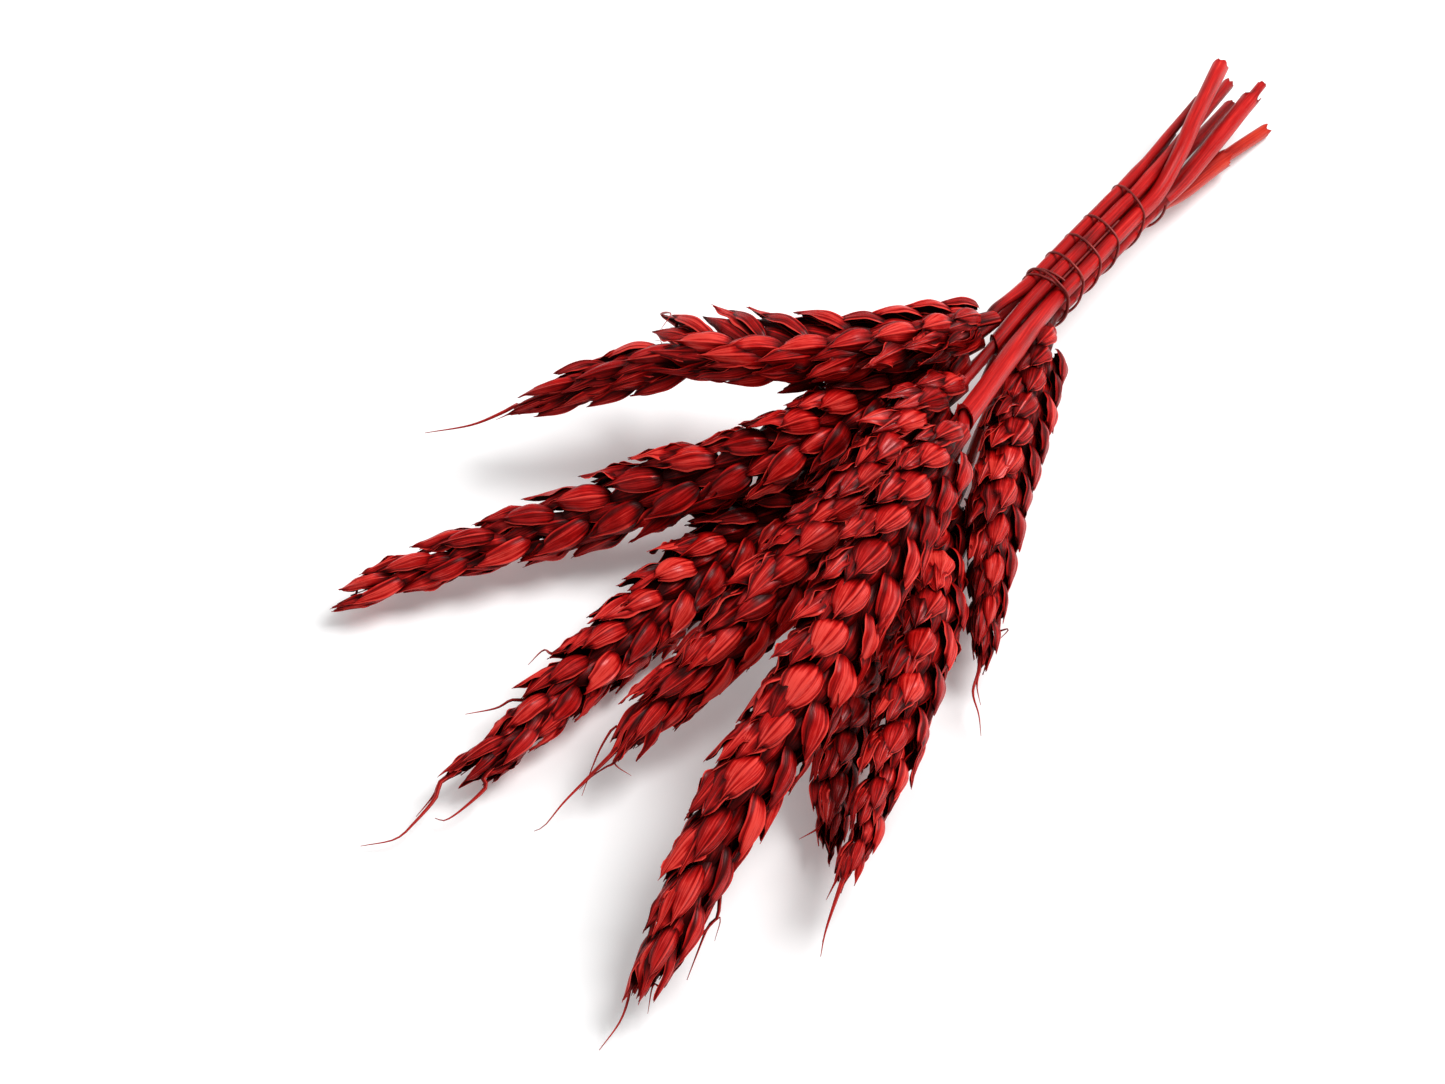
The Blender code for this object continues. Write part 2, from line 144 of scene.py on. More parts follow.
# %% The faces of a skin
def skin_faces(rows, columns):
    """Quads between the rings of a skin, then those that close its first and its last ring."""
    row, column = np.meshgrid(np.arange(rows - 1), np.arange(columns), indexing="ij")
    beside = (column + 1) % columns
    wall = np.stack([row * columns + column, row * columns + beside,
                     (row + 1) * columns + beside, (row + 1) * columns + column], -1)
    cap = np.arange(columns // 2 - 1)
    first = np.stack([cap, columns - 1 - cap, columns - 2 - cap, cap + 1], -1)
    last = first[:, ::-1] + (rows - 1) * columns
    return np.concatenate([wall.reshape(-1, 4), first, last])


def faces_outward(rings):
    """Whether those faces look outwards: then the volume they close comes out positive."""
    following = np.roll(rings, -1, axis=1)
    volume = np.einsum("rci,rci->", rings[:-1], np.cross(following[:-1], rings[1:]))
    volume += np.einsum("rci,rci->", following[:-1], np.cross(following[1:], rings[1:]))
    return volume >= 0.0


print("a skin of 17 rings of 22 points has", len(skin_faces(17, 22)), "faces")

# %% [markdown]
# When the model is exported, its finishes are baked into pictures, and each face needs its own
# patch of them. So every skin gets a square tile of a flat map, with a small margin round it that
# keeps neighbours' colours apart. A straw is long and thin, and gets several tiles in a row.

# %% The map of a skin
TILE_MARGIN = 0.04
CAP_PLACE = 0.001


def skin_map(rows, columns, tiles):
    """The tile of each face of a skin, and the places of its four corners in that tile."""
    row, column = np.meshgrid(np.arange(rows - 1), np.arange(columns), indexing="ij")
    tile = np.minimum((row * tiles) // (rows - 1), tiles - 1)
    rows_a_tile = (rows - 1) / tiles
    low = (row - tile * rows_a_tile) / rows_a_tile
    high = low + 1 / rows_a_tile
    left, right = column / columns, (column + 1) / columns
    corners = np.stack([np.stack([left, low], -1), np.stack([right, low], -1),
                        np.stack([right, high], -1), np.stack([left, high], -1)], -2)
    caps = columns // 2 - 1
    cap_corners = np.full((caps * 2, 4, 2), 0.5)
    cap_corners[:caps, :, 1] = CAP_PLACE
    cap_corners[caps:, :, 1] = 1 - CAP_PLACE
    return (np.concatenate([tile.reshape(-1), np.repeat([0, tiles - 1], caps)]),
            np.concatenate([corners.reshape(-1, 4, 2), cap_corners]))


print("a long skin's faces lie on tiles", sorted(set(skin_map(17, 22, 4)[0].tolist())))

# %% [markdown]
# A piece gathers its skins first and becomes a Blender mesh at the end. Besides its place, every
# point carries three numbers, its "lay": where across its husk or straw it lies, where along it,
# and the tone of that one husk. The finishes read them, so a rib can follow a husk however it
# turns. Nothing may sink through the table, so a point that would is lifted onto it.

# %% A piece made of skins
SHARP_ANGLE = math.radians(60.0)


class Piece:
    """A mesh gathered from skins, each a stack of rings with an even number of points."""

    def __init__(self, name):
        self.name = name
        self.skins, self.lays, self.quads, self.tiles, self.maps = [], [], [], [], []
        self.count = 0
        self.tile_count = 0
        self.open = None

    def add(self, rings, across, along, tone, tiles=1):
        """Adds a skin. across is each ring point's place across it, along each ring's place."""
        rings = rings.copy()
        rings[..., 2] = np.maximum(rings[..., 2], 0.0)
        if not faces_outward(rings):
            rings, across = rings[:, ::-1], across[::-1]
        rows, columns = rings.shape[:2]
        lay = np.empty((rows, columns, 3))
        lay[..., 0], lay[..., 1], lay[..., 2] = across[None, :], along[:, None], tone
        tile, corners = skin_map(rows, columns, tiles)
        self.skins.append(rings)
        self.lays.append(lay.reshape(-1, 3))
        self.quads.append(skin_faces(rows, columns) + self.count)
        self.tiles.append(tile + self.tile_count)
        self.maps.append(corners)
        self.count += rows * columns
        self.tile_count += tiles

    def points(self):
        return np.concatenate([rings.reshape(-1, 3) for rings in self.skins])

    def flat_map(self):
        """Where every face corner lies on the whole map: its tile's corner, and its own place."""
        tiles = np.concatenate(self.tiles)
        side = math.ceil(math.sqrt(self.tile_count))
        corner = np.stack([tiles % side, tiles // side], -1)[:, None, :]
        inside = TILE_MARGIN + np.concatenate(self.maps) * (1 - 2 * TILE_MARGIN)
        return (corner + inside) / side

    def make(self, finish):
        """The finished object, with its map, its finish and its smooth shading."""
        points, quads = self.points(), np.concatenate(self.quads)
        mesh = bpy.data.meshes.new(self.name)
        mesh.vertices.add(len(points))
        mesh.vertices.foreach_set("co", points.astype(np.float32).ravel())
        mesh.loops.add(quads.size)
        mesh.loops.foreach_set("vertex_index", quads.astype(np.int32).ravel())
        mesh.polygons.add(len(quads))
        mesh.polygons.foreach_set("loop_start", np.arange(0, quads.size, 4, dtype=np.int32))
        mesh.update(calc_edges=True)
        lay = mesh.attributes.new("lay", "FLOAT_VECTOR", "POINT")
        lay.data.foreach_set("vector", np.concatenate(self.lays).astype(np.float32).ravel())
        spots = mesh.attributes.new("open", "FLOAT", "POINT")
        spots.data.foreach_set("value", self.open.astype(np.float32))
        flat = mesh.uv_layers.new(name="OFBake")
        flat.data.foreach_set("uv", self.flat_map().astype(np.float32).ravel())
        mesh.shade_smooth()
        mesh.set_sharp_from_angle(angle=SHARP_ANGLE)
        mesh.materials.append(finish)
        thing = bpy.data.objects.new(self.name, mesh)
        bpy.context.scene.collection.objects.link(thing)
        return thing


PIECES = []


def gather(piece, finish, node, slot):
    """Keeps a piece for later, with its finish, the plain node it stands for and its slot."""
    PIECES.append((piece, finish, node, slot))


def even_turns(count):
    """The directions of a ring's points, evenly round it, in radians."""
    return np.linspace(0, 2 * math.pi, count, endpoint=False)


def places_round(count):
    """A round ring's places across: 1 where it starts, 0 on the far side, and back again."""
    return np.abs(np.linspace(0, 2, count, endpoint=False) - 1)


def round_ring(centre, side, other, radii, turns):
    """A ring of points round a centre, in the plane of two crosswise directions."""
    return (np.array(centre[:]) + np.outer(np.cos(turns) * radii, side)
            + np.outer(np.sin(turns) * radii, other))


print("places across a round ring of 8:", places_round(8).round(2).tolist())

# %% [markdown]
# Blender builds a finish from nodes. Written out link by link, even a short sum takes a dozen
# lines, so one small class wraps a node's output and lets it be used in ordinary sums, and one
# method adds any node: its type, its settings and what goes into its sockets.

# %% Finishes as sums
class Worth:
    """A node's output that can be used in sums."""

    def __init__(self, finish, socket):
        self.finish, self.socket = finish, socket

    def sum(self, operation, a, b=0.0):
        return self.finish.node("ShaderNodeMath", {"operation": operation}, {0: a, 1: b})[0]

    def __add__(self, other):
        return self.sum("ADD", self, other)

    def __radd__(self, other):
        return self.sum("ADD", other, self)

    def __sub__(self, other):
        return self.sum("SUBTRACT", self, other)

    def __rsub__(self, other):
        return self.sum("SUBTRACT", other, self)

    def __mul__(self, other):
        return self.sum("MULTIPLY", self, other)

    def __rmul__(self, other):
        return self.sum("MULTIPLY", other, self)

    def __pow__(self, other):
        return self.sum("POWER", self, other)

    def __abs__(self):
        return self.sum("ABSOLUTE", self)

    def within(self):
        """The same worth, kept between 0 and 1."""
        return self.finish.node("ShaderNodeClamp", {}, {"Value": self, "Min": 0.0, "Max": 1.0})[0]


class Finish:
    """A material on one Principled shader."""

    def __init__(self, name, **constants):
        self.material = bpy.data.materials.new(name)
        self.material.use_nodes = True
        self.tree = self.material.node_tree
        self.shader = self.tree.nodes["Principled BSDF"]
        for socket, value in constants.items():
            self.shader.inputs[socket.replace("_", " ")].default_value = value

    def node(self, kind, settings, inputs):
        """Adds a node and returns its outputs, ready for sums."""
        node = self.tree.nodes.new(kind)
        for setting, value in settings.items():
            if setting == "stops":
                self.set_stops(node.color_ramp, value)
            else:
                setattr(node, setting, value)
        for socket, value in inputs.items():
            self.feed(node.inputs[socket], value)
        return [Worth(self, socket) for socket in node.outputs if socket.enabled]

    def set_stops(self, ramp, stops):
        while len(ramp.elements) < len(stops):
            ramp.elements.new(0.5)
        for element, (place, colour) in zip(ramp.elements, stops):
            element.position, element.color = place, (*colour, 1.0)

    def feed(self, socket, value):
        if isinstance(value, Worth):
            self.tree.links.new(value.socket, socket)
        else:
            socket.default_value = value

    def use(self, **sockets):
        for socket, value in sockets.items():
            self.feed(self.shader.inputs[socket.replace("_", " ")], value)
        return self.material

    def lay(self):
        """Across, along and tone: where on its husk or straw each point lies."""
        lay = self.node("ShaderNodeAttribute", {"attribute_name": "lay"}, {})[1]
        return self.node("ShaderNodeSeparateXYZ", {}, {0: lay})

    def open(self):
        """How open each spot is: 0 in a hollow, 1 on a bare back."""
        return self.node("ShaderNodeAttribute", {"attribute_name": "open"}, {})[2]

    def at(self, x, y, z):
        return self.node("ShaderNodeCombineXYZ", {}, {0: x, 1: y, 2: z})[0]

    def noise(self, vector, scale, detail=3.0, roughness=0.55):
        return self.node("ShaderNodeTexNoise", {}, {
            "Vector": vector, "Scale": scale, "Detail": detail, "Roughness": roughness})[0]

    def place(self):
        return self.node("ShaderNodeTexCoord", {}, {})[3]


print("the finishes build on", "Principled BSDF")

# %% [markdown]
# The husks are dry leaves, thin as paper, and the dye sank into them unevenly. Their thin rims and
# raised keels are painted lighter: partly real, as the paper is thin there and the dye rubbed off the
# keel, and partly painted highlight. The grooves beside the keel, the band where the next husk
# overlaps, the hidden foot and the deep places between the husks are painted darker, nearly black,
# as painted shade. One flat red with bumps would look like plastic. We let one number, the dye
# together with that painted light and shade, go from dark to light, add up everything that changes
# it, and read the colour from a ramp of deep reds. The ribs are a noise drawn out a long way along
# the husk: it is wide across and short along, and each husk's own tone shifts it, so that no two are
# alike. The shine is a thin coat that lies only on the open backs, broken up by the same ribs.

# %% The husks' finish
HUSK_DYE_AND_PAINTED_LIGHT = [(0.0, (0.030, 0.0001, 0.0002)), (0.28, (0.095, 0.0003, 0.0004)),
            (0.55, (0.26, 0.0012, 0.0014)), (0.78, (0.50, 0.0060, 0.0050)),
            (1.0, (0.78, 0.050, 0.036))]
TONE_SHIFT = 40.0


def husk_finish(name):
    """Veins and fibres along the husk; painted shade in its hollows; rim and keel lighter, partly as
    painted highlight.
    """
    finish = Finish(name, Specular_IOR_Level=0.07, Coat_Roughness=0.26)
    across, along, tone = finish.lay()
    off = abs(across * 2.0 - 1.0)
    veins = finish.noise(finish.at(across * 25.0, along * 1.1, tone * TONE_SHIFT), 1.0, 2.0)
    fibres = finish.noise(finish.at(across * 70.0, along * 4.0, tone * TONE_SHIFT), 1.0, 3.0)
    mottle = finish.noise(finish.place(), 420.0, 3.0, 0.6)
    # Painted highlight on the thin rim, partly also the thin paper's own lighter colour.
    rim = ((off - 0.84) * 8.0).within()
    # The keel is lighter partly because the dye rubbed off it and partly as a painted highlight.
    ridge = (1.0 - off * 12.0).within()
    # Painted shade in the shallow groove beside the keel.
    groove = (1.0 - abs(off - 0.13) * 12.0).within()
    # Painted shade in the band where the next husk overlaps this one.
    overlap_shade = (1.0 - abs(off - 0.74) * 7.0).within()
    # Painted shade on the husk's hidden, overlapped foot.
    foot = (1.0 - along * 3.0).within() ** 1.5
    tip = ((along - 0.91) * 11.0).within()
    # Painted shade: the husk's colour is lowered where the openness says it lies hidden, raised on open
    # backs.
    bare = finish.open()
    dye = (0.39 + (tone - 0.5) * 0.36 + (veins - 0.5) * 0.95 + (fibres - 0.5) * 0.50
           + (mottle - 0.5) * 0.26 + rim * 0.58 + ridge * 0.30 - groove * 0.26 - overlap_shade * 0.24
           - foot * 0.06 - tip * 0.08 + (bare - 0.58) * 0.95)
    colour = finish.node("ShaderNodeValToRGB", {"stops": HUSK_DYE_AND_PAINTED_LIGHT}, {0: dye.within()})[0]
    bump = finish.node("ShaderNodeBump", {}, {
        "Strength": 0.7, "Distance": 0.00022,
        "Height": veins * 0.8 + fibres * 0.35 + mottle * 0.25})[0]
    rough = 0.42 + (fibres - 0.5) * 0.22 + (mottle - 0.5) * 0.2
    streaks = ((fibres + veins - 0.92) * 5.0).within()
    return finish.use(Base_Color=colour, Roughness=rough, Normal=bump,
                      Coat_Weight=bare ** 2.0 * 0.42 * streaks)


HUSK = husk_finish("dyed_husk")
print("husk finish nodes:", len(HUSK.node_tree.nodes))

# %% [markdown]
# A straw is a bundle of long fibres under a smooth skin. Its colour runs in streaks from end to
# end, brighter than the husks because the dye lies on the skin instead of soaking in. We could use
# a wood texture, but its rings would close round the straw. Two noises work better, a fine one for
# the fibres and a broad one for the streaks, both drawn out so far along the straw that they are
# stripes. The fibres also feed a shallow bump. Where other straws and husks crowd round a straw,
# its colour is painted darker from the openness, as painted shade. The straw in the torn orange
# sheath took the dye badly, so the same finish is made twice, with a second ramp that goes towards
# orange.

# %% The straws' finish
STRAW_DYE_AND_PAINTED_SHADE = [(0.0, (0.05, 0.0002, 0.0003)), (0.30, (0.17, 0.0008, 0.0010)),
             (0.60, (0.42, 0.0030, 0.0030)), (0.82, (0.60, 0.012, 0.009)),
             (1.0, (0.80, 0.080, 0.050))]
WARM_DYE_AND_PAINTED_SHADE = [(0.0, (0.09, 0.0010, 0.0006)), (0.30, (0.28, 0.0050, 0.0025)),
            (0.60, (0.52, 0.020, 0.0080)), (0.82, (0.66, 0.055, 0.020)), (1.0, (0.84, 0.15, 0.065))]
STREAK_SHIFT = 23.0


def straw_finish(name, stops):
    """Fibres and streaks along the straw, coloured by one of the two ramps."""
    finish = Finish(name, Specular_IOR_Level=0.16)
    across, along, tone = finish.lay()
    fibres = finish.noise(finish.at(across * 22.0, along * 0.10, tone * TONE_SHIFT), 1.0, 3.0, 0.6)
    streaks = finish.noise(finish.at(across * 6.0, along * 0.05, tone * STREAK_SHIFT), 1.0, 2.0)
    mottle = finish.noise(finish.place(), 300.0, 3.0, 0.6)
    # The dye value also carries painted shade: it is lowered where the openness says the straw lies
    # hidden.
    dye = (0.50 + (tone - 0.5) * 0.3 + (fibres - 0.5) * 0.95 + (streaks - 0.5) * 0.45
           + (mottle - 0.5) * 0.10 + (finish.open() - 0.75) * 0.6)
    colour = finish.node("ShaderNodeValToRGB", {"stops": stops}, {0: dye.within()})[0]
    bump = finish.node("ShaderNodeBump", {}, {
        "Strength": 0.6, "Distance": 0.00015, "Height": fibres * 0.9 + mottle * 0.1})[0]
    rough = 0.34 + (fibres - 0.5) * 0.25 + (mottle - 0.5) * 0.15
    return finish.use(Base_Color=colour, Roughness=rough, Normal=bump)


STRAW = straw_finish("dyed_straw", STRAW_DYE_AND_PAINTED_SHADE)
WARM_STRAW = straw_finish("faded_straw", WARM_DYE_AND_PAINTED_SHADE)
print("straw finish nodes:", len(STRAW.node_tree.nodes))

# %% [markdown]
# The wire was dyed with the bundle. It is dark red with a dull metal shine where the dye has rubbed
# off. The whole wire is one noise: where it is high the colour is lighter, the metal shows more
# and the bump rises a little, so that colour and shine change together, as wear does.

# %% The wire's finish
WIRE_DYE = [(0.3, (0.12, 0.008, 0.008)), (0.6, (0.27, 0.022, 0.018)), (0.8, (0.46, 0.09, 0.07))]


def wire_finish(name):
    """Dark red dye on metal, worn off where one noise is high."""
    finish = Finish(name, Specular_IOR_Level=0.5)
    worn = finish.noise(finish.place(), 700.0, 3.0, 0.6)
    colour = finish.node("ShaderNodeValToRGB", {"stops": WIRE_DYE}, {0: worn})[0]
    bump = finish.node("ShaderNodeBump", {}, {
        "Strength": 0.3, "Distance": 0.00005, "Height": worn})[0]
    return finish.use(Base_Color=colour, Metallic=0.25 + worn * 0.4, Roughness=0.3 + worn * 0.25,
                      Normal=bump)


WIRE = wire_finish("dyed_wire")
print("wire finish nodes:", len(WIRE.node_tree.nodes))

# %% [markdown]
# Nothing on a dried plant is straight or even, so two small helpers come first. A ripple adds
# up a few sine waves of random length, which is smoother than plain random numbers. A smooth step
# lets one shape fade into another without a corner.

# %% Smooth waves and steps
def ripple(rng, at, slow, fast, waves=4):
    """A smooth random wave about zero, of height near one."""
    total = 0.0
    for _ in range(waves):
        total = total + np.sin(at * rng.uniform(slow, fast) * 2 * math.pi
                               + rng.uniform(0, 2 * math.pi))
    return total / math.sqrt(waves)


def ease(low, high, at):
    """A smooth step: 0 before low, 1 past high."""
    share = np.clip((at - low) / (high - low), 0.0, 1.0)
    return share * share * (3 - 2 * share)


print("halfway up a smooth step:", ease(0.0, 1.0, 0.5))

# %% [markdown]
# A husk is a boat-shaped leaf. It starts narrow, opens to a rounded shoulder, and runs out in a
# point. A keel, a sharp rib, runs along its back a little to one side, its edges wrap forwards, and
# when it dries they ripple. It could be a subdivided box pushed about by hand, but the bundle has
# more than two thousand husks and each must differ. So one husk is a formula on a grid: t goes
# along it and c goes across it. The grid's lines lie closer together at the keel, where the shape
# turns sharply. How wide the husk is comes from two simple curves: one rises from the foot to the
# shoulder as a quarter of an ellipse does, and one falls from there to the tip.

# %% A husk's grid and outline
HUSK_ROWS = 17
HUSK_COLUMNS = 11
KEEL_CROWDING = 1.25


def husk_lines(keel, columns):
    """Places across a husk, from -1 at one edge to 1 at the other, closest at its keel."""
    before = max(3, round((columns - 1) * (1 + keel) / 2))
    after = columns - 1 - before
    left = keel - (1 + keel) * np.linspace(1.0, 0.0, before + 1) ** KEEL_CROWDING
    right = keel + (1 - keel) * np.linspace(0.0, 1.0, after + 1)[1:] ** KEEL_CROWDING
    return np.concatenate([left, right])[None, :]


def husk_outline(t, foot, shoulder, tip, fullness):
    """How wide a husk is along it, as a rise from its foot and a fall to its tip."""
    rise = foot + (1 - foot) * np.sqrt(1 - (1 - np.minimum(t / shoulder, 1.0)) ** 2)
    fall = 1 - (1 - tip) * np.clip((t - shoulder) / (1 - shoulder), 0, 1) ** fullness
    return rise, fall


print("lines across a husk:", husk_lines(0.2, HUSK_COLUMNS).round(2).tolist()[0])

# %% [markdown]
# Now the husk itself. x goes across it, y out from its foot's axis and z along it, all in
# millimetres. Each line adds one thing that a dried husk does: the arc of its section, the keel,
# the pleats, the ripples of its free edges, the frayed end. The outer face is then copied inwards
# along its normals, which gives a thin closed shell.

# %% One husk
def husk_shape(rng, length, width, depth, wrap=85.0, keel=0.2, ridge=0.35, fold=0.2, shoulder=0.4,
               foot=0.3, tip=0.3, fullness=2.2, tooth=0.5, notch=0.0, bow=0.0, lift=0.5, end=0.0,
               ruffle=0.25, pleat=0.0, sweep=0.0, twist=0.0, fray=0.1, thick=0.11,
               rows=HUSK_ROWS, columns=HUSK_COLUMNS):
    """A husk's ring points as (across, out, along) in mm, its places across and along."""
    t = np.linspace(0.0, 1.0, rows)[:, None]
    c = husk_lines(keel, columns)
    rise, fall = husk_outline(t, foot, shoulder, tip, fullness)
    full = rise * fall
    # The section: an arc that wraps forwards, partly folded into a roof with its ridge at the keel.
    turn = np.radians(wrap * (1.0 - 0.25 * t ** 3))
    x = 0.5 * width * full * np.sin(c * turn) / np.sin(np.minimum(turn, math.pi / 2))
    arc = (np.cos(c * turn) - np.cos(turn)) / (1 - np.cos(turn))
    reach = np.where(c < keel, 1 + keel, 1 - keel)
    roof = 1 - np.abs(c - keel) / reach
    y = depth * full ** 0.8 * (arc * (1 - fold) + roof * fold)
    # The keel stands up as a sharp rib, with a shallow valley on both sides of it.
    y = y + ridge * full * (np.exp(-((c - keel) / 0.13) ** 2)
                            - 0.45 * np.exp(-((c - keel) / 0.5) ** 2))
    # It stands off its foot's axis, and its tip leans back in or further out.
    y = y + lift * ease(-0.1, 0.5, t) + (end - lift) * ease(0.5, 1.05, t)
    y = y + pleat * full * np.cos(c * 8.0 + rng.uniform(0, 6.28) + t * 1.5)
    # The free edges ripple, less and less towards the tip.
    edge = np.clip((np.abs(c) - 0.35) / 0.65, 0, 1) ** 1.6
    which = np.where(c < 0, 0.0, 7.3)
    loose = edge * ease(0.15, 0.6, t) * np.sqrt(fall)
    y = y + ruffle * loose * ripple(rng, t + which, 0.7, 2.6)
    x = x + 0.6 * ruffle * loose * ripple(rng, t + which, 0.8, 3.0)
    y = y + 0.10 * ripple(rng, t * 0.8 + c * 0.9, 0.5, 1.6)
    # The end: a tooth at the keel, a notch beside it, and a frayed edge.
    jag = np.array([rng.uniform(-1, 1) for _ in range(columns)])[None, :]
    z = length * t + ease(0.80, 1.0, t) * (
        tooth * np.exp(-((c - keel) / 0.2) ** 2) + fray * jag
        - notch * np.exp(-((c - keel - 0.32) / 0.16) ** 2)
        - 0.10 * length * (c - keel) ** 2 * (tip > 0.15))
    # The whole husk bows outwards, sweeps sideways and twists.
    y = y + bow * length * t ** 2.5
    x = x + sweep * length * t ** 2
    spin = twist * t
    x, y = x * np.cos(spin) - y * np.sin(spin), x * np.sin(spin) + y * np.cos(spin)
    outer = np.stack([x, y, z + 0 * c], -1)
    rings = np.concatenate([outer, inner_face(outer, c, thick)[:, ::-1]], axis=1)
    share = 0.5 + 0.5 * (c[0] - keel) / reach[0]
    return rings, np.concatenate([share, share[::-1]]), t[:, 0]


def inner_face(outer, c, thick):
    """The inner face: the outer one moved in along its normals, less at its thin edges."""
    normal = np.cross(np.gradient(outer, axis=1), np.gradient(outer, axis=0))
    normal /= np.maximum(np.linalg.norm(normal, axis=-1, keepdims=True), 1e-9)
    if normal[len(outer) // 3, outer.shape[1] // 2, 1] < 0:
        normal = -normal
    return outer - normal * (thick * (1 - 0.55 * np.abs(c) ** 3)[..., None])


def add_husk(piece, rng, foot, grow, out, size, **shape):
    """Sets a husk on a piece: its foot, the way it grows and the way its back faces."""
    grow = grow.normalized()
    out = (out - grow * out.dot(grow)).normalized()
    across = out.cross(grow)
    rings, places, along = husk_shape(rng, **shape)
    base = np.array([across[:], out[:], grow[:]]) * (MM * size)
    piece.add(rings @ base + np.array(foot[:]), places, along, rng.random())
    tip = rings[-1, :rings.shape[1] // 2].mean(axis=0) @ base + np.array(foot[:])
    return Vector(tip)


test_rings, _, _ = husk_shape(random.Random(1), 8.0, 5.5, 2.0)
print("one husk has", test_rings.shape[0] * test_rings.shape[1], "points")

# %% [markdown]
# Some husks end in an awn, a whisker that can be longer than the husk. It is drawn as a six-sided
# tube along a smooth line, thick where it leaves the tip and close to nothing at its end. A curve
# object with a bevel would do the same, but as a skin it joins the ear's own mesh and finish.

# %% Whiskers
WHISKER_SIDES = 6
WHISKER_ROWS = 18
WHISKER_TONE = 0.55


def add_whisker(piece, points, thick):
    """A thin round awn through the points, drawn out to nothing at its end."""
    line = even_line(smooth_line(points), WHISKER_ROWS)
    turns = even_turns(WHISKER_SIDES)
    rings = []
    for k, (centre, (_, side, other)) in enumerate(zip(line, ring_frames(line))):
        radius = thick * MM * (1.25 - 1.12 * (k / (WHISKER_ROWS - 1)) ** 0.7)
        rings.append(round_ring(centre, side, other, radius, turns))
    along = np.linspace(0.4, 1.0, WHISKER_ROWS)
    piece.add(np.array(rings), places_round(WHISKER_SIDES), along, WHISKER_TONE)


print("a whisker has", WHISKER_SIDES * WHISKER_ROWS, "points")

# %% [markdown]
# An ear's spine is a zigzag, with a spikelet at each bend, left and right in turn. The table gives
# each ear's spine as a few points, how far it is rolled round itself, how many spikelets it has and
# their size. Most dried ears twist and bend a little, so the spine is a smooth line through the
# points. The spikelets are biggest just below the middle and slimmer and longer near the tip. On
# the first ear some spikelets of one row stand away from the spine, which makes its ragged edge.

# %% The ears' layout
EARS = {
    1: dict(roll=-20.0, spikelets=20, size=0.98, slender=0.84, flare=(0.36, 0.78, 40.0),
            rachis=[(16.5, 47.0, 22.2), (10.6, 33.8, 25.0), (-0.8, 21.7, 24.1),
                    (-14.7, 13.9, 22.0), (-27.3, 3.3, 16.8), (-35.0, -3.2, 12.8)]),
    2: dict(roll=40.0, spikelets=26, size=1.0, lean=9.0,
            rachis=[(14.0, 47.6, 15.2), (11.0, 31.9, 17.0), (6.9, 11.9, 18.0),
                    (-3.2, -1.8, 14.5), (-14.3, -13.6, 9.5), (-25.3, -28.6, 6.9),
                    (-36.7, -46.7, 4.2)]),
    3: dict(roll=30.0, spikelets=23, size=0.95,
            rachis=[(12.0, 25.0, 6.0), (8.6, 9.6, 5.8), (5.0, -2.8, 5.8), (3.6, -28.0, 6.0),
                    (2.7, -41.0, 6.0), (2.4, -52.3, 5.5), (0.0, -64.0, 4.5)]),
    4: dict(roll=62.0, spikelets=23, size=1.04,
            rachis=[(21.0, 32.6, 20.5), (21.0, 22.0, 21.0), (22.0, 6.0, 19.0),
                    (21.0, -12.0, 16.0), (20.0, -27.0, 13.0), (18.0, -37.0, 10.5),
                    (19.0, -47.0, 8.0)]),
    5: dict(roll=48.0, spikelets=25, size=1.04,
            rachis=[(31.2, 17.4, 28.1), (33.0, 5.0, 28.0), (35.0, -8.0, 26.0),
                    (37.4, -23.8, 22.0), (38.8, -35.5, 18.5), (40.0, -49.4, 15.0),
                    (42.0, -61.4, 11.0), (45.4, -77.8, 6.0)]),
    6: dict(roll=50.0, spikelets=19, size=0.98, lean=8.0, taper=0.30,
            rachis=[(28.2, 23.6, 10.6), (33.0, 10.0, 12.0), (38.8, 1.6, 13.0),
                    (47.9, -18.4, 13.0), (53.8, -34.4, 12.0), (59.2, -50.8, 9.0)]),
    7: dict(roll=70.0, spikelets=14, size=0.85,
            rachis=[(32.1, 2.0, 5.5), (37.0, -14.0, 5.5), (43.0, -29.0, 5.0),
                    (51.0, -42.0, 4.2)]),
    8: dict(roll=55.0, spikelets=20, size=0.95, lean=13.0, taper=0.25,
            rachis=[(23.0, 56.2, 15.0), (29.3, 39.6, 13.5), (35.6, 24.3, 12.0),
                    (42.5, 11.5, 9.0), (50.0, -2.0, 6.0)]),
}
HUSK_ALONG = [(0.0, 0.84), (0.10, 0.92), (0.30, 1.0), (0.60, 1.04), (0.80, 0.96), (1.0, 0.80)]
LONG_ALONG = [(0.0, 0.95), (0.5, 1.0), (0.8, 1.15), (1.0, 1.30)]
SLIM_ALONG = [(0.0, 1.0), (0.6, 1.0), (0.8, 0.86), (1.0, 0.62)]
SPIKELET_REACH = 12.0 * MM
SPIKELET_OFFSET = 1.15 * MM


def rachis_frame(way, roll):
    """At a rachis: the way its rows point, and the way its two flat sides face."""
    up = Vector((0.0, 0.0, 1.0))
    up = (up - way * up.dot(way)).normalized()
    level = way.cross(up)
    row = level * math.cos(roll) + up * math.sin(roll)
    return row, way.cross(row)


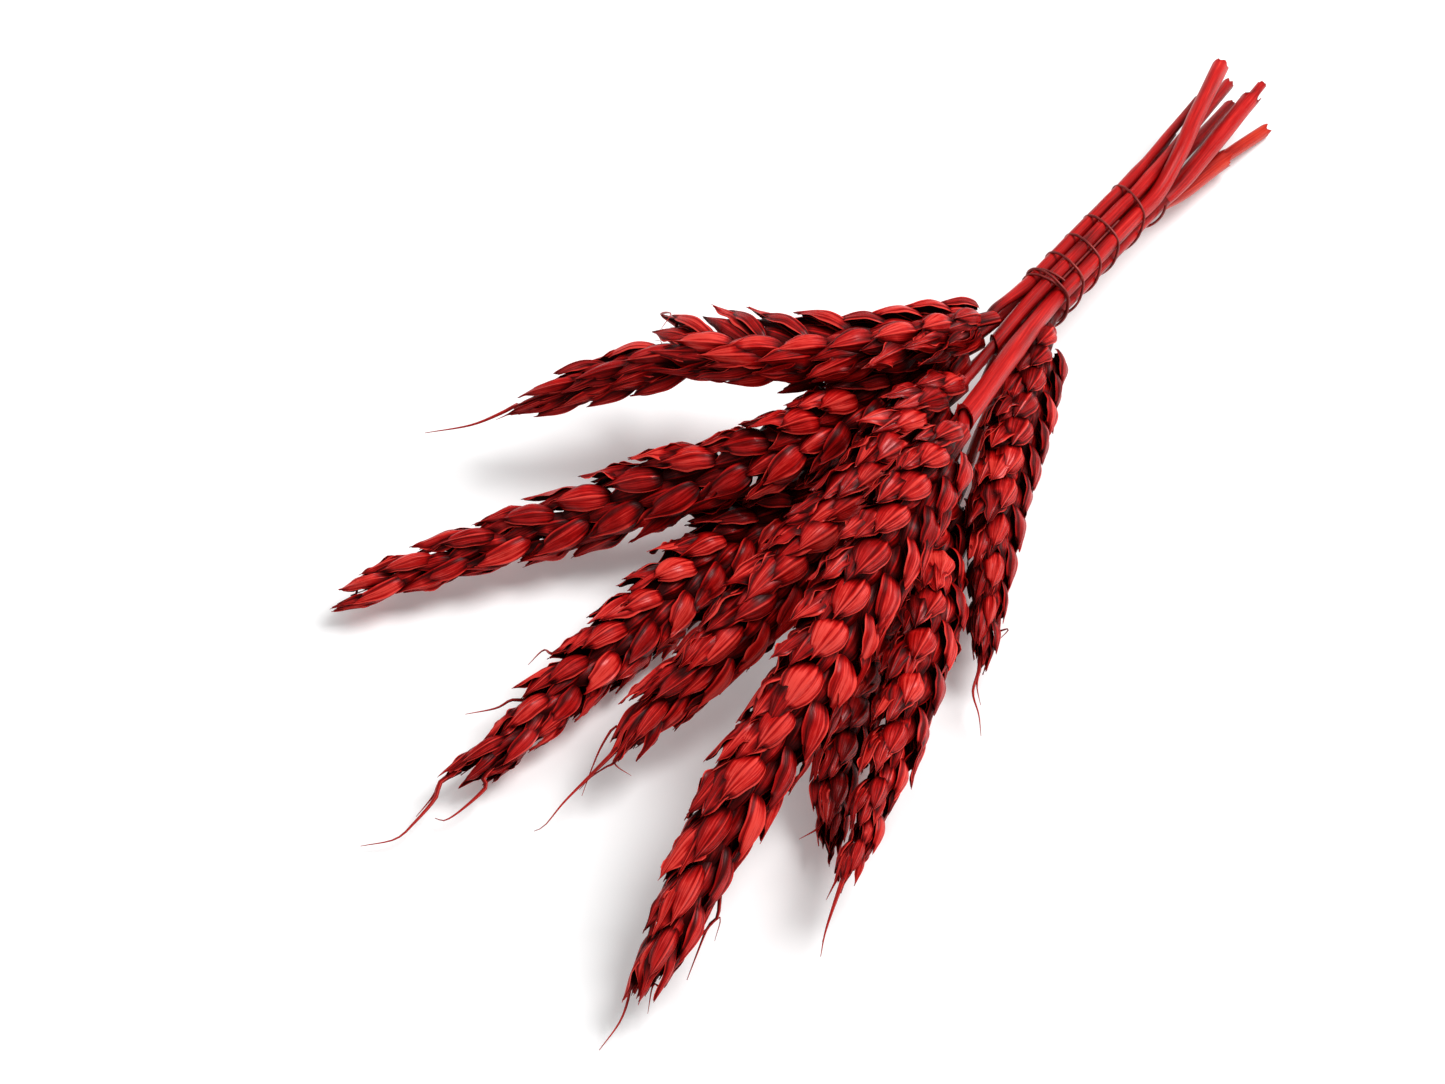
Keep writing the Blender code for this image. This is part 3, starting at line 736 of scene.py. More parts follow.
def spikelet_places(ear):
    """The spine's line, and for each spikelet what add_spikelet asks for, in that order."""
    line = smooth_line([point(*p) for p in ear["rachis"]])
    run = run_lengths(line)
    count = ear["spikelets"]
    reach = run[-1] - 0.72 * SPIKELET_REACH
    places = []
    for k in range(count):
        share = k / (count - 1)
        along = reach * (0.72 * share + 0.28 * share ** 2)
        centre, way = point_on(line, run, along)
        row, flat = rachis_frame(way, math.radians(ear["roll"]))
        outward = row if k % 2 == 0 else -row
        lean = math.radians(ear.get("lean", 13.0)) * (1.0 - 1.1 * share ** 2)
        flare_from, flare_to, flare = ear.get("flare", (2.0, 2.0, 0.0))
        if k % 2 == 0 and flare_from < share < flare_to:
            lean = math.radians(flare)
        if k == count - 1:
            lean = 0.0
        grow = way * math.cos(lean) + outward * math.sin(lean)
        taper = 1.0 - ear.get("taper", 0.0) * share ** 3
        size = ear["size"] * read_table(HUSK_ALONG, share) * taper
        offset = SPIKELET_OFFSET * size * (0.0 if k == count - 1 else 1.0 - 0.55 * share ** 2)
        smooth = 0.45 if lean > 0.5 else 1.0
        slender = ear.get("slender", 1.0)
        places.append((centre + outward * offset, outward, grow, flat, size, share, slender,
                       smooth))
    return line, places


print("ears laid out:", len(EARS), "with", sum(ear["spikelets"] for ear in EARS.values()),
      "spikelets")

# %% [markdown]
# A spikelet is a fan of husks on one foot. On each side lies a glume, the short, broad, stiff husk
# with the clear keel and a notch beside its tip. Two longer lemmas grow from behind each glume,
# with thin rippled edges, then come an inner husk, and in the middle one that closes the fan. A
# single bulb with painted lines would be far lighter, but dried wheat is all edges and gaps, so
# every husk is really there. Small random leans, turns and lengths keep the fans from repeating.

# %% One spikelet
def leaned(way, *leans):
    """A way, leaned towards others by small angles in degrees."""
    for towards, angle in leans:
        way = way * math.cos(math.radians(angle)) + towards * math.sin(math.radians(angle))
        way.normalize()
    return way


def add_spikelet(piece, rng, foot, outward, grow, flat, size, share, slender, smooth):
    """A fan of husks: two glumes outside, then lemmas that reach past them."""
    out = (outward - grow * outward.dot(grow)).normalized()
    tips = []

    def jitter(span):
        return rng.uniform(-span, span)

    spread = 1.0 - 0.85 * share ** 3
    long = read_table(LONG_ALONG, share) / math.sqrt(slender) * (1.18 if smooth < 1.0 else 1.0)
    slim = read_table(SLIM_ALONG, share) * slender
    curl = 0.10 * (1.0 - smooth)
    for side in (1.0, -1.0):
        face = flat * side
        add_husk(piece, rng, foot + (face * 1.5 + out * 0.6) * MM * size,
                 leaned(grow, (face, 4 * spread + jitter(3)), (out, 2 + jitter(3))),
                 leaned(face, (out, 38 + jitter(10))), size,
                 length=(8.0 + jitter(0.6)) * long, width=(5.3 + jitter(0.4)) * slim, depth=1.75,
                 wrap=88, keel=-0.25 * side + jitter(0.1), ridge=0.38, fold=0.30, tip=0.22,
                 tooth=0.7, notch=0.7, fullness=1.9, lift=0.9, end=0.9, bow=jitter(0.04),
                 ruffle=0.14, fray=0.20, twist=jitter(0.15))
        first = foot + (grow * 1.2 + face * 0.7 + out * 1.0) * MM * size
        tips.append(add_husk(
            piece, rng, first,
            leaned(grow, (face, (5 + jitter(5)) * spread), (out, (6 + jitter(5)) * spread)),
            leaned(face, (out, 44 + jitter(14))), size,
            length=(9.8 + jitter(0.9)) * long, width=(5.4 + jitter(0.5)) * slim, depth=1.0,
            wrap=62, keel=-0.08 * side, ridge=0.28, fold=0.3, tip=0.07, tooth=0.6, fullness=1.3,
            lift=1.0, end=0.2 + jitter(0.5), ruffle=0.60 * smooth, pleat=0.16, bow=curl,
            sweep=jitter(0.06), twist=jitter(0.4), fray=0.06))
        second = foot + (grow * 2.2 + face * 0.2 + out * 1.4) * MM * size
        tips.append(add_husk(
            piece, rng, second,
            leaned(grow, (face, (2 + jitter(6)) * spread), (out, (12 + jitter(6)) * spread)),
            leaned(out, (face, 32 + jitter(16))), size,
            length=(9.4 + jitter(1.1)) * long, width=(4.9 + jitter(0.5)) * slim, depth=1.0,
            wrap=62, keel=0.0, ridge=0.26, fold=0.3, tip=0.07, tooth=0.6, fullness=1.3, lift=0.7,
            end=0.1 + jitter(0.7), ruffle=0.66 * smooth, pleat=0.18, bow=curl, sweep=jitter(0.09),
            twist=jitter(0.55), fray=0.06))
        add_husk(piece, rng, foot + (grow * 1.2 + face * 0.6 - out * 0.3) * MM * size,
                 leaned(grow, (face, 5 + jitter(4)), (out, -5 + jitter(3))),
                 leaned(face, (out, -20 + jitter(10))), size,
                 length=(8.6 + jitter(0.6)) * long, width=4.8 * slim, depth=1.1, wrap=66,
                 keel=0.0, ridge=0.2, fold=0.2, tip=0.06, tooth=0.3, fullness=1.6, lift=0.9,
                 end=0.2, ruffle=0.4, pleat=0.12, rows=13, columns=9)
    middle = foot + (grow * 2.6 + out * 0.4) * MM * size
    tips.append(add_husk(
        piece, rng, middle,
        leaned(grow, (out, (6 + jitter(5)) * spread), (flat, jitter(8) * spread)),
        leaned(out, (flat, jitter(50))), size,
        length=(8.8 + jitter(0.9)) * long, width=4.2 * slim, depth=1.2, wrap=80, keel=0.0,
        ridge=0.25, fold=0.2, tip=0.04, tooth=0.6, fullness=1.4, lift=0.6, end=jitter(0.6),
        ruffle=0.45, pleat=0.15, twist=jitter(0.5)))
    return tips


# %% [markdown]
# The spine shows between the lowest spikelets. It is a flattened, jointed stem, so it is skinned
# as a tube with an oval ring, twice as wide towards the rows as across them.

# %% The spine
RACHIS_RINGS = 60
RACHIS_SIDES = 10
RACHIS_TONE = 0.5


def add_rachis(piece, line, ear):
    """The ear's spine: flattened, and a little zigzag from spikelet to spikelet."""
    back = (line[0] - line[1]).normalized() * 2.2 * MM
    stem = even_line([line[0] + back] + line, RACHIS_RINGS)
    last = RACHIS_RINGS - 1
    turns = even_turns(RACHIS_SIDES)
    rings = []
    for k, centre in enumerate(stem):
        share = k / last
        way = (stem[min(k + 1, last)] - stem[max(k - 1, 0)]).normalized()
        radius = (0.95 - 0.4 * share) * (1.0 - 0.92 * float(ease(0.78, 0.97, share))) * MM
        row, flat = rachis_frame(way, math.radians(ear["roll"]))
        ring = np.outer(np.cos(turns) * 1.9, row) + np.outer(np.sin(turns) * 1.1, flat)
        rings.append(np.array(centre[:]) + ring * radius)
    piece.add(np.array(rings), places_round(RACHIS_SIDES), np.linspace(0.2, 1.0, RACHIS_RINGS),
              RACHIS_TONE, tiles=10)


print("a spine has", RACHIS_RINGS, "rings of", RACHIS_SIDES, "points")

# %% [markdown]
# The long awns are the bundle's most visible lines against the white floor. Each is a thickness
# and the points it passes. It starts from whichever husk tip lies nearest to its first point, so
# it always grows out of a real husk.

# %% The awns' layout
AWNS = {
    1: [(0.42, (-38.0, -4.2, 11.2), (-39.7, -6.5, 10.0), (-42.7, -10.4, 8.7), (-48.2, -15.2, 7.5)),
        (0.3, (-37.9, -6.2, 10.8), (-40.0, -7.2, 9.0)),
        (0.3, (-22.5, 16.3, 24.5), (-21.3, 12.2, 25.0)),
        (0.25, (-21.2, 12.2, 22.0), (-22.6, 12.0, 22.0))],
    2: [(0.45, (-36.4, -45.6, 4.0), (-38.3, -48.2, 2.5))],
    3: [(0.42, (-0.7, -69.0, 3.6), (-0.7, -73.9, 2.7), (-1.4, -77.4, 1.9), (-5.1, -80.9, 1.0)),
        (0.35, (-1.4, -68.7, 3.3), (-1.6, -72.5, 2.0)),
        (0.45, (4.0, -63.0, 3.8), (3.5, -67.3, 3.0), (2.4, -70.4, 2.2), (0.5, -70.7, 1.5)),
        (0.4, (-2.6, -49.1, 5.7), (-3.9, -51.1, 4.8), (-7.3, -54.3, 4.0)),
        (0.35, (-4.7, -38.8, 6.2), (-4.8, -42.4, 6.0))],
    4: [(0.38, (15.9, -53.2, 5.7), (15.3, -58.8, 4.5), (15.1, -63.0, 3.2), (13.9, -64.1, 2.0)),
        (0.32, (14.3, -45.1, 8.0), (14.2, -48.3, 6.7), (15.0, -51.8, 5.3), (16.4, -56.0, 4.0)),
        (0.28, (17.2, -51.2, 6.6), (15.9, -53.2, 5.2), (15.6, -55.6, 4.4)),
        (0.25, (20.4, -49.3, 5.0),)],
    5: [(0.45, (42.1, -76.3, 4.9), (44.1, -80.4, 3.7), (45.0, -83.6, 2.6), (45.1, -88.2, 1.5)),
        (0.4, (45.7, -76.5, 5.0), (45.2, -78.1, 4.0), (45.1, -79.4, 3.0)),
        (0.3, (45.9, -77.0, 5.0), (47.4, -80.2, 3.0)),
        (0.42, (46.8, -63.2, 7.0), (46.4, -65.0, 6.0), (47.7, -69.5, 5.0), (48.7, -72.9, 4.0)),
        (0.3, (47.6, -63.8, 8.0), (48.2, -65.8, 5.0))],
    6: [(0.4, (60.4, -56.0, 7.0), (61.7, -59.0, 5.0)), (0.3, (60.8, -57.4, 6.0),),
        (0.3, (57.8, -52.4, 8.0),)],
    7: [(0.3, (46.1, -42.7, 3.0),)],
    8: [(0.35, (51.3, -5.6, 4.8), (54.0, -7.9, 3.7), (56.1, -10.3, 2.5)),
        (0.3, (51.3, -4.5, 5.0), (53.3, -6.4, 4.0)),
        (0.3, (49.5, 6.5, 7.0), (49.1, 4.5, 6.0))],
}


def add_awns(piece, number, tips):
    """Draws out the nearest husk tip into each of the ear's long whiskers."""
    for thick, *through in AWNS[number]:
        points = [point(*p) for p in through]
        foot, tip = min(tips, key=lambda pair: (pair[1] - points[0]).length)
        add_whisker(piece, [foot.lerp(tip, 0.7), tip] + points, thick)


print("awns:", sum(len(awns) for awns in AWNS.values()))

# %% [markdown]
# Now an ear is made as one piece: its spine, its spikelets from foot to tip, then its awns. It
# stands for the plain model's ear of the same number and takes the dyed husk's finish.

# %% Every ear
EAR_SEED = 100


def make_ear(number):
    """A whole ear as one piece."""
    rng = random.Random(EAR_SEED + number)
    ear = EARS[number]
    piece = Piece("wheat_ear_%d" % number)
    line, places = spikelet_places(ear)
    add_rachis(piece, line, ear)
    tips = []
    for place in places:
        tips += [(place[0], tip) for tip in add_spikelet(piece, rng, *place)]
    add_awns(piece, number, tips)
    gather(piece, HUSK, "ear_%d" % number, "dyed_husk")
    print("ear", number, "has", len(piece.skins), "skins")


for number in EARS:
    make_ear(number)

# %% [markdown]
# Eight straws run through the tie. Each has a place across it, its slot, so that they touch and
# don't pass through each other, and from there it fans out to its ear on one side and to its cut
# end on the other. The line is the plain model's own, so the fine straw lies where the plain one
# does. Two straws end in a sheath out of which a thinner neck straw carries the ear, and two are
# wrapped by the torn tube of a leaf at the cut end.

# %% The stalks' layout
TIE_NECK = Vector((17.06, 60.56, 16.88)) * MM
TIE_TAIL = Vector((13.9, 98.0, 12.2)) * MM
TIE_FACING = Vector((0.49, 0.0, 0.87))
TIE_LENGTH = (TIE_TAIL - TIE_NECK).length
TIE_SHARES = (0.0, 0.25, 0.5, 0.75, 1.0)
TIE_MARGIN = 1.5 * MM
TIE_AXIS = (TIE_TAIL - TIE_NECK).normalized()
TIE_RIGHT = TIE_AXIS.cross(TIE_FACING).normalized()
TIE_UP = TIE_RIGHT.cross(TIE_AXIS)
STALKS = {
    1: dict(slot=(-2.1, 1.5), radii=(0.80, 0.95, 0.80),
            neck=[(16.2, 51.5, 21.4), (16.7, 48.4, 21.8)],
            tail=[(30.5, -3.3, -0.6)]),
    2: dict(slot=(-0.9, -0.8), radii=(0.90, 1.15, 1.00),
            neck=[(14.8, 54.0, 15.7), (14.0, 48.6, 15.3)],
            tail=[(22.0, -2.6, -3.2)]),
    3: dict(slot=(1.3, -2.4), radii=(0.90, 1.15, 0.95),
            neck=[(15.6, 52.0, 11.2), (14.0, 42.0, 8.8), (12.6, 30.0, 6.6), (12.1, 25.8, 6.0)],
            tail=[(25.0, 0.0, -4.6)]),
    4: dict(slot=(0.0, 2.7), radii=(1.25, 1.15, 1.05),
            neck=[(19.0, 54.0, 19.7), (20.0, 45.0, 20.2)],
            tail=[(38.5, -1.5, 0.2)]),
    5: dict(slot=(2.75, 2.95), radii=(1.70, 1.30, 1.45),
            neck=[(24.0, 46.0, 22.0), (28.0, 28.0, 26.0), (29.0, 23.0, 27.0)],
            tail=[(10.0, 0.6, 4.7), (20.0, -1.8, 4.8), (36.0, -4.8, 3.7)]),
    6: dict(slot=(4.0, -2.2), radii=(0.90, 1.15, 1.10),
            neck=[(20.0, 50.0, 9.4), (23.0, 38.0, 8.4), (27.0, 27.5, 9.6),
                  (28.6, 22.0, 10.7)],
            tail=[(12.0, 5.5, -2.4), (25.0, 6.9, -2.0), (39.5, 9.0, -1.8)]),
    7: dict(slot=(1.6, 0.3), radii=(0.80, 1.15, 1.00),
            neck=[(18.5, 50.0, 14.0), (22.0, 35.0, 10.5), (27.0, 18.0, 7.0), (31.0, 5.0, 5.6),
                  (31.8, 2.9, 5.5)],
            tail=[(38.0, 1.4, -2.3)]),
    8: dict(slot=(4.3, 0.5), radii=(0.90, 1.15, 0.85),
            neck=[(22.6, 57.2, 15.0)],
            tail=[(6.0, 4.6, 1.1), (20.0, 4.0, 1.4), (43.0, 2.8, 2.0)]),
}
PEDUNCLES = {
    4: dict(radius=0.88, points=[(20.8, 38.0, 20.5), (21.0, 33.6, 20.5), (21.0, 31.0, 20.6)]),
    5: dict(radius=0.95, points=[(30.5, 20.4, 27.6), (31.0, 18.4, 28.0), (31.3, 15.8, 28.1)]),
}
SHEATHS = {6: (2.5, 25.4), 8: (2.5, 38.5)}
SHEATH_RADII = {6: 1.75, 8: 1.66}


def in_tie(along, right, up):
    """The point at a distance along the tie from its neck, and right and up across it."""
    return TIE_NECK + LAY + TIE_AXIS * along + TIE_RIGHT * right + TIE_UP * up


def culm_line(stalk):
    """A culm's smooth line from its ear to its cut end, and its radius along it."""
    neck = [point(*p) for p in reversed(stalk["neck"])]
    inside = [in_tie(TIE_LENGTH * share, *(v * MM for v in stalk["slot"]))
              for share in TIE_SHARES]
    tail = [in_tie(TIE_LENGTH + on * MM, right * MM, up * MM) for on, right, up in stalk["tail"]]
    line = smooth_line(neck + inside + tail)
    run = run_lengths(line)
    neck_run = run[len(neck) * LINE_STEPS]
    tail_run = run[(len(neck) + len(TIE_SHARES) - 1) * LINE_STEPS]
    ear_radius, tie_radius, cut_radius = (r * MM for r in stalk["radii"])
    held = [neck_run - TIE_MARGIN, tail_run + TIE_MARGIN]
    full = tie_radius * 1.08
    radius_along = [(0.0, ear_radius), (held[0] * 0.55, ear_radius), (held[0], full),
                    (held[1], full), (held[1] + 5.0 * MM, cut_radius),
                    (run[-1], cut_radius)]
    return line, radius_along, tail_run


print("the tie is", round(TIE_LENGTH / MM, 1), "mm long and holds", len(STALKS), "straws")

# %% [markdown]
# A straw is not a cylinder. It is ribbed lengthwise, a little oval, and dented here and there, and
# where it was cut it is a hollow tube with a ragged rim. So it is skinned ring by ring, with ribs
# that stay on the same side all along. At a cut end the skin turns in over the rim and runs back
# inside the straw, so the hollow is real. A collar is the same, but flared and cut on a slant.

# %% One straw
STRAW_SIDES = 28
STRAW_STEP = 1.1 * MM


def add_straw(piece, rng, line, radius_at, start="plain", end="cut", wall=0.30, depth=9.0,
              tone=0.5, slant=1.4, jag=0.35):
    """A straw along a line, with ribs; each end is plain, cut (hollow, ragged) or a collar."""
    run = run_lengths(line)
    count = max(4, round(run[-1] / STRAW_STEP))
    turns = even_turns(STRAW_SIDES)
    ribs = np.array([rng.gauss(0, 1) for _ in turns])
    ribs = (ribs + np.roll(ribs, 1) * 0.6) * 0.016
    places = [run[-1] * k / (count - 1) for k in range(count)]
    middle = [point_on(line, run, place)[0] for place in places]
    frames = ring_frames(middle)
    phase = rng.uniform(0, 6.28)
    rings, alongs = [], []
    for place, centre, (way, side, other) in zip(places, middle, frames):
        radius = radius_at(place)
        oval = 0.045 * np.cos(2 * turns + phase + place / MM * 0.02)
        dent = 0.02 * math.sin(place / MM * 0.35 + phase)
        rings.append(round_ring(centre, side, other, radius * (1 + ribs + oval + dent), turns))
        alongs.append(place / MM)
    rough = np.array([rng.uniform(-1, 1) for _ in turns])
    rough = (rough + 0.8 * np.roll(rough, 1))[:, None] * jag * MM

    def mouth(ring, k, inward, kind):
        way, side, other = frames[k]
        out = way * (-inward)
        centre = np.array(middle[k][:])
        radius = radius_at(places[k])
        if kind == "collar":
            lean = (np.cos(turns - 0.9)[:, None] * slant * MM) * np.array(out[:])
            flare = (ring - centre) * (1.13 + 0.05 * np.sin(3 * turns)[:, None]) + centre + lean
        else:
            flare = ring + rough * np.array(out[:])
        thin = wall * MM / radius
        edge = (flare - flare.mean(axis=0)) * (1 - thin) + flare.mean(axis=0)
        steps = []
        for share in (0.12, 0.5, 1.0):
            deep = places[k] + inward * depth * share * MM
            inner, _ = point_on(line, run, min(max(deep, 0.0), run[-1]))
            bore = (radius - wall * MM) * (0.98 if share < 0.3 else 0.95)
            steps.append(round_ring(inner, side, other, np.full(len(turns), bore), turns))
        return flare, [edge] + steps

    before, after = [], []
    if start != "plain":
        rings[0], inner = mouth(rings[0], 0, 1.0, start)
        before = inner[::-1]
    if end != "plain":
        rings[-1], after = mouth(rings[-1], count - 1, -1.0, end)
    stack = np.array(before + rings + after)
    along = np.array([alongs[0]] * len(before) + alongs + [alongs[-1]] * len(after))
    tiles = max(1, round(run[-1] / (2 * math.pi * radius_at(0.0) * 1.4)))
    piece.add(stack, places_round(STRAW_SIDES), along, tone, tiles=tiles)


print("a straw has", STRAW_SIDES, "sides and a ring each", round(STRAW_STEP / MM, 1), "mm")

# %% [markdown]
# Three kinds of piece come from that one skin: the straws, the thin neck straws with the small
# knot under the ear, and the torn leaf sheaths, whose walls are thinner and their rims more ragged.

# %% Every straw
STRAW_SEED, NECK_SEED, SHEATH_SEED = 200, 300, 400
FADED_STALK = 6
KNOT_FROM_EAR = 3.4 * MM
SHEATH_RINGS = 24


def straw_colour(number):
    """The finish of a stalk's straw and of its sheath."""
    return WARM_STRAW if number == FADED_STALK else STRAW


def make_straw(number):
    """A stalk's thick straw, from its cut end to where its ear or its neck straw begins."""
    rng = random.Random(STRAW_SEED + number)
    line, radius_along, _ = culm_line(STALKS[number])
    piece = Piece("straw_%d" % number)
    start = "collar" if number in PEDUNCLES else "plain"
    add_straw(piece, rng, line, lambda place: read_table(radius_along, place), start=start,
              depth=9.0 if start == "plain" else 3.2, tone=0.35 + 0.4 * rng.random())
    gather(piece, straw_colour(number), "culm_%d" % number, "dyed_straw")


def make_peduncle(number):
    """The thin neck straw that comes out of a stalk's collar and carries its ear."""
    rng = random.Random(NECK_SEED + number)
    start = point(*STALKS[number]["neck"][-1])
    before = point(*STALKS[number]["neck"][-2])
    way = (start - before).normalized()
    radius = PEDUNCLES[number]["radius"] * MM
    points = [start - way * 2.8 * MM, start] + [point(*p) for p in PEDUNCLES[number]["points"]]
    line = smooth_line(points)
    whole = run_lengths(line)[-1]
    knot = whole - KNOT_FROM_EAR

    def swell(place):
        return radius * (1.0 + 0.28 * math.exp(-((place - knot) / (0.5 * MM)) ** 2))

    piece = Piece("neck_straw_%d" % number)
    add_straw(piece, rng, line, swell, start="plain", end="plain", tone=0.35)
    gather(piece, STRAW, "peduncle_%d" % number, "dyed_straw")


def make_sheath(number):
    """The torn leaf sheath round a stalk's straw."""
    rng = random.Random(SHEATH_SEED + number)
    line, radius_along, tail_run = culm_line(STALKS[number])
    run = run_lengths(line)
    start, end = (tail_run + place * MM for place in SHEATHS[number])
    middle = [point_on(line, run, start + (end - start) * k / (SHEATH_RINGS - 1))[0]
              for k in range(SHEATH_RINGS)]
    narrow, radius = read_table(radius_along, start) * 1.02, SHEATH_RADII[number] * MM

    def widen(place):
        return narrow + (radius - narrow) * float(ease(0.0, 11.0 * MM, place))

    piece = Piece("sheath_%d" % number)
    add_straw(piece, rng, middle, widen, start="plain", end="cut", wall=0.22, depth=4.0, tone=0.45,
              jag=1.1)
    gather(piece, straw_colour(number), "leaf_sheath_%d" % number, "dyed_straw")


for number in STALKS:
    make_straw(number)
for number in PEDUNCLES:
    make_peduncle(number)
for number in SHEATHS:
    make_sheath(number)
print("straws:", len(STALKS), "neck straws:", len(PEDUNCLES), "sheaths:", len(SHEATHS))

# %% [markdown]
# One thin wire holds the bundle. It starts along a groove between two straws, goes twice round the
# neck of the tie, crosses itself, and then winds on towards the cut ends in wide turns. Round a
# bundle a tight wire follows the outline that a rubber band would, the convex hull of the straws'
# sections, so that outline is worked out once and the wire is wound on it, lifted a little where
# it passes over itself. Where the hull has a corner the wire bends gently: its reach is the mean of
# a few directions near its own.

# %% The binding wire
WIRE_RADIUS = 0.23 * MM
WIRE_SIDES = 8
WIRE_STEPS_PER_TURN = 64
WIRE_TAIL_GROOVE = (1.25, 3.86)
WIRE_TAIL_RUN = (25.0, 4.6)
WIRE_WINDING = [(0.0, 3.9, 0.0), (1.0, 2.0, 0.0), (1.5, 1.2, 0.25), (2.0, 2.0, 0.45),
                (2.6, 5.4, 0.3), (3.2, 9.3, 0.1), (4.2, 15.8, 0.0), (5.2, 22.4, 0.0),
                (6.2, 33.2, 0.0), (6.5, 35.8, 0.3), (6.85, 37.6, 0.4)]
WIRE_FIRST_ANGLE = math.radians(88.0)
WIRE_TAIL_STEPS = 20
WIRE_TAIL_SINK = 0.25 * MM
WIRE_TILES = 64
RIM_STEPS = 64
NEAR_TURNS = (-0.3, -0.15, 0.0, 0.15, 0.3)


def tie_hull():
    """The outline that a wire drawn tight round the tied straws follows."""
    rim = []
    for stalk in STALKS.values():
        reach = stalk["radii"][1] * MM * 1.03 + WIRE_RADIUS
        for k in range(RIM_STEPS):
            turn = 2 * math.pi * k / RIM_STEPS
            rim.append(Vector((stalk["slot"][0] * MM + math.cos(turn) * reach,
                               stalk["slot"][1] * MM + math.sin(turn) * reach)))
    return [rim[k] for k in convex_hull_2d(rim)]


def hull_reach(hull, middle, turn):
    """How far the hull lies from its middle, in the direction of a turn."""
    way = Vector((math.cos(turn), math.sin(turn)))
    for a, b in zip(hull, hull[1:] + hull[:1]):
        edge = b - a
        across = way.x * edge.y - way.y * edge.x
        if abs(across) < 1e-12:
            continue
        reach = ((a.x - middle.x) * edge.y - (a.y - middle.y) * edge.x) / across
        share = ((a.x - middle.x) * way.y - (a.y - middle.y) * way.x) / across
        if reach > 0.0 and -1e-6 <= share <= 1.0 + 1e-6:
            return reach
    return 0.0


def wire_line():
    """The wire's line: a straight start in a groove, then turns wound back over it."""
    hull = tie_hull()
    middle = sum(hull, Vector((0.0, 0.0))) / len(hull)
    groove = [v * MM for v in WIRE_TAIL_GROOVE]
    first, last = WIRE_TAIL_RUN
    line = [in_tie((first + (last - first) * k / WIRE_TAIL_STEPS) * MM, groove[0],
                   groove[1] - WIRE_TAIL_SINK) for k in range(WIRE_TAIL_STEPS + 1)]
    turns_all = WIRE_WINDING[-1][0]
    steps = round(turns_all * WIRE_STEPS_PER_TURN)
    places = [(turn, place) for turn, place, lift in WIRE_WINDING]
    lifts = [(turn, lift) for turn, place, lift in WIRE_WINDING]
    for k in range(steps + 1):
        made = turns_all * k / steps
        turn = WIRE_FIRST_ANGLE + 2 * math.pi * made
        near = [hull_reach(hull, middle, turn + off) for off in NEAR_TURNS]
        reach = sum(near) / len(near) + read_table(lifts, made) * MM
        line.append(in_tie(read_table(places, made) * MM, middle.x + math.cos(turn) * reach,
                           middle.y + math.sin(turn) * reach))
    return line


def make_wire():
    """The whole wire as one long skin."""
    line = wire_line()
    turns = even_turns(WIRE_SIDES)
    rings = np.array([round_ring(centre, side, other, WIRE_RADIUS, turns)
                      for centre, (_, side, other) in zip(line, ring_frames(line))])
    along = np.array(run_lengths(line)) / MM
    piece = Piece("tie_wire")
    piece.add(rings, places_round(WIRE_SIDES), along, 0.5, tiles=WIRE_TILES)
    gather(piece, WIRE, "binding_wire", "wire")
    print("the wire is", round(along[-1]), "mm long")


make_wire()

# %% [markdown]
# The finishes paint shade into the colour: the deep places between the husks are painted dark and
# the open backs light, as ambient occlusion would shade them. A finish can't know how deep a spot
# lies, unless it is told. So for a few spots on every husk we send a small fan of rays outwards and
# count how many get away without meeting another husk nearby. That share is kept on the mesh as an
# attribute, "open", that the finishes read: it paints that shade into their colour and keeps the
# husks' coat to the open backs. Blender's own ambient occlusion node would do it at render time,
# but it isn't kept when a model is exported.

# %% How open each spot is
from mathutils.bvhtree import BVHTree

RAY_REACH = 4.5 * MM
RAY_LIFT = 0.12 * MM
RAY_RINGS = ((0.25, 3), (0.75, 6))
SPOTS_ROUND = 10


def ray_fan():
    """A few ways over a half sphere, as (across, across, up)."""
    fan = [(0.0, 0.0, 1.0)]
    for tilt, count in RAY_RINGS:
        for k in range(count):
            turn = 2 * math.pi * (k + tilt) / count
            flat = math.sqrt(tilt)
            fan.append((math.cos(turn) * flat, math.sin(turn) * flat, math.sqrt(1 - tilt)))
    return np.array(fan)


def skin_openness(tree, rings, fan):
    """For each point of a skin, the share of the ways out that nothing blocks nearby."""
    rows, columns = rings.shape[:2]
    pick_rows = np.unique(np.linspace(0, rows - 1, max(6, rows // 5)).round().astype(int))
    pick_columns = np.linspace(0, columns, SPOTS_ROUND, endpoint=False).astype(int)
    around = np.roll(rings, -1, axis=1) - np.roll(rings, 1, axis=1)
    along = np.gradient(rings, axis=0)
    normal = np.cross(around, along)
    normal /= np.maximum(np.linalg.norm(normal, axis=-1, keepdims=True), 1e-12)
    side = along / np.maximum(np.linalg.norm(along, axis=-1, keepdims=True), 1e-12)
    other = np.cross(normal, side)
    found = np.empty((len(pick_rows), len(pick_columns)))
    for i, r in enumerate(pick_rows):
        for j, c in enumerate(pick_columns):
            start = rings[r, c] + normal[r, c] * RAY_LIFT
            ways = fan @ np.array([side[r, c], other[r, c], normal[r, c]])
            origin = Vector(start)
            free = sum(tree.ray_cast(origin, Vector(way), RAY_REACH)[0] is None for way in ways)
            found[i, j] = free / len(ways)
    by_row = np.array([np.interp(np.arange(rows), pick_rows, found[:, j])
                       for j in range(len(pick_columns))])
    edge = np.append(pick_columns, columns)
    return np.array([np.interp(np.arange(columns), edge, np.append(by_row[:, r], by_row[0, r]))
                     for r in range(rows)])


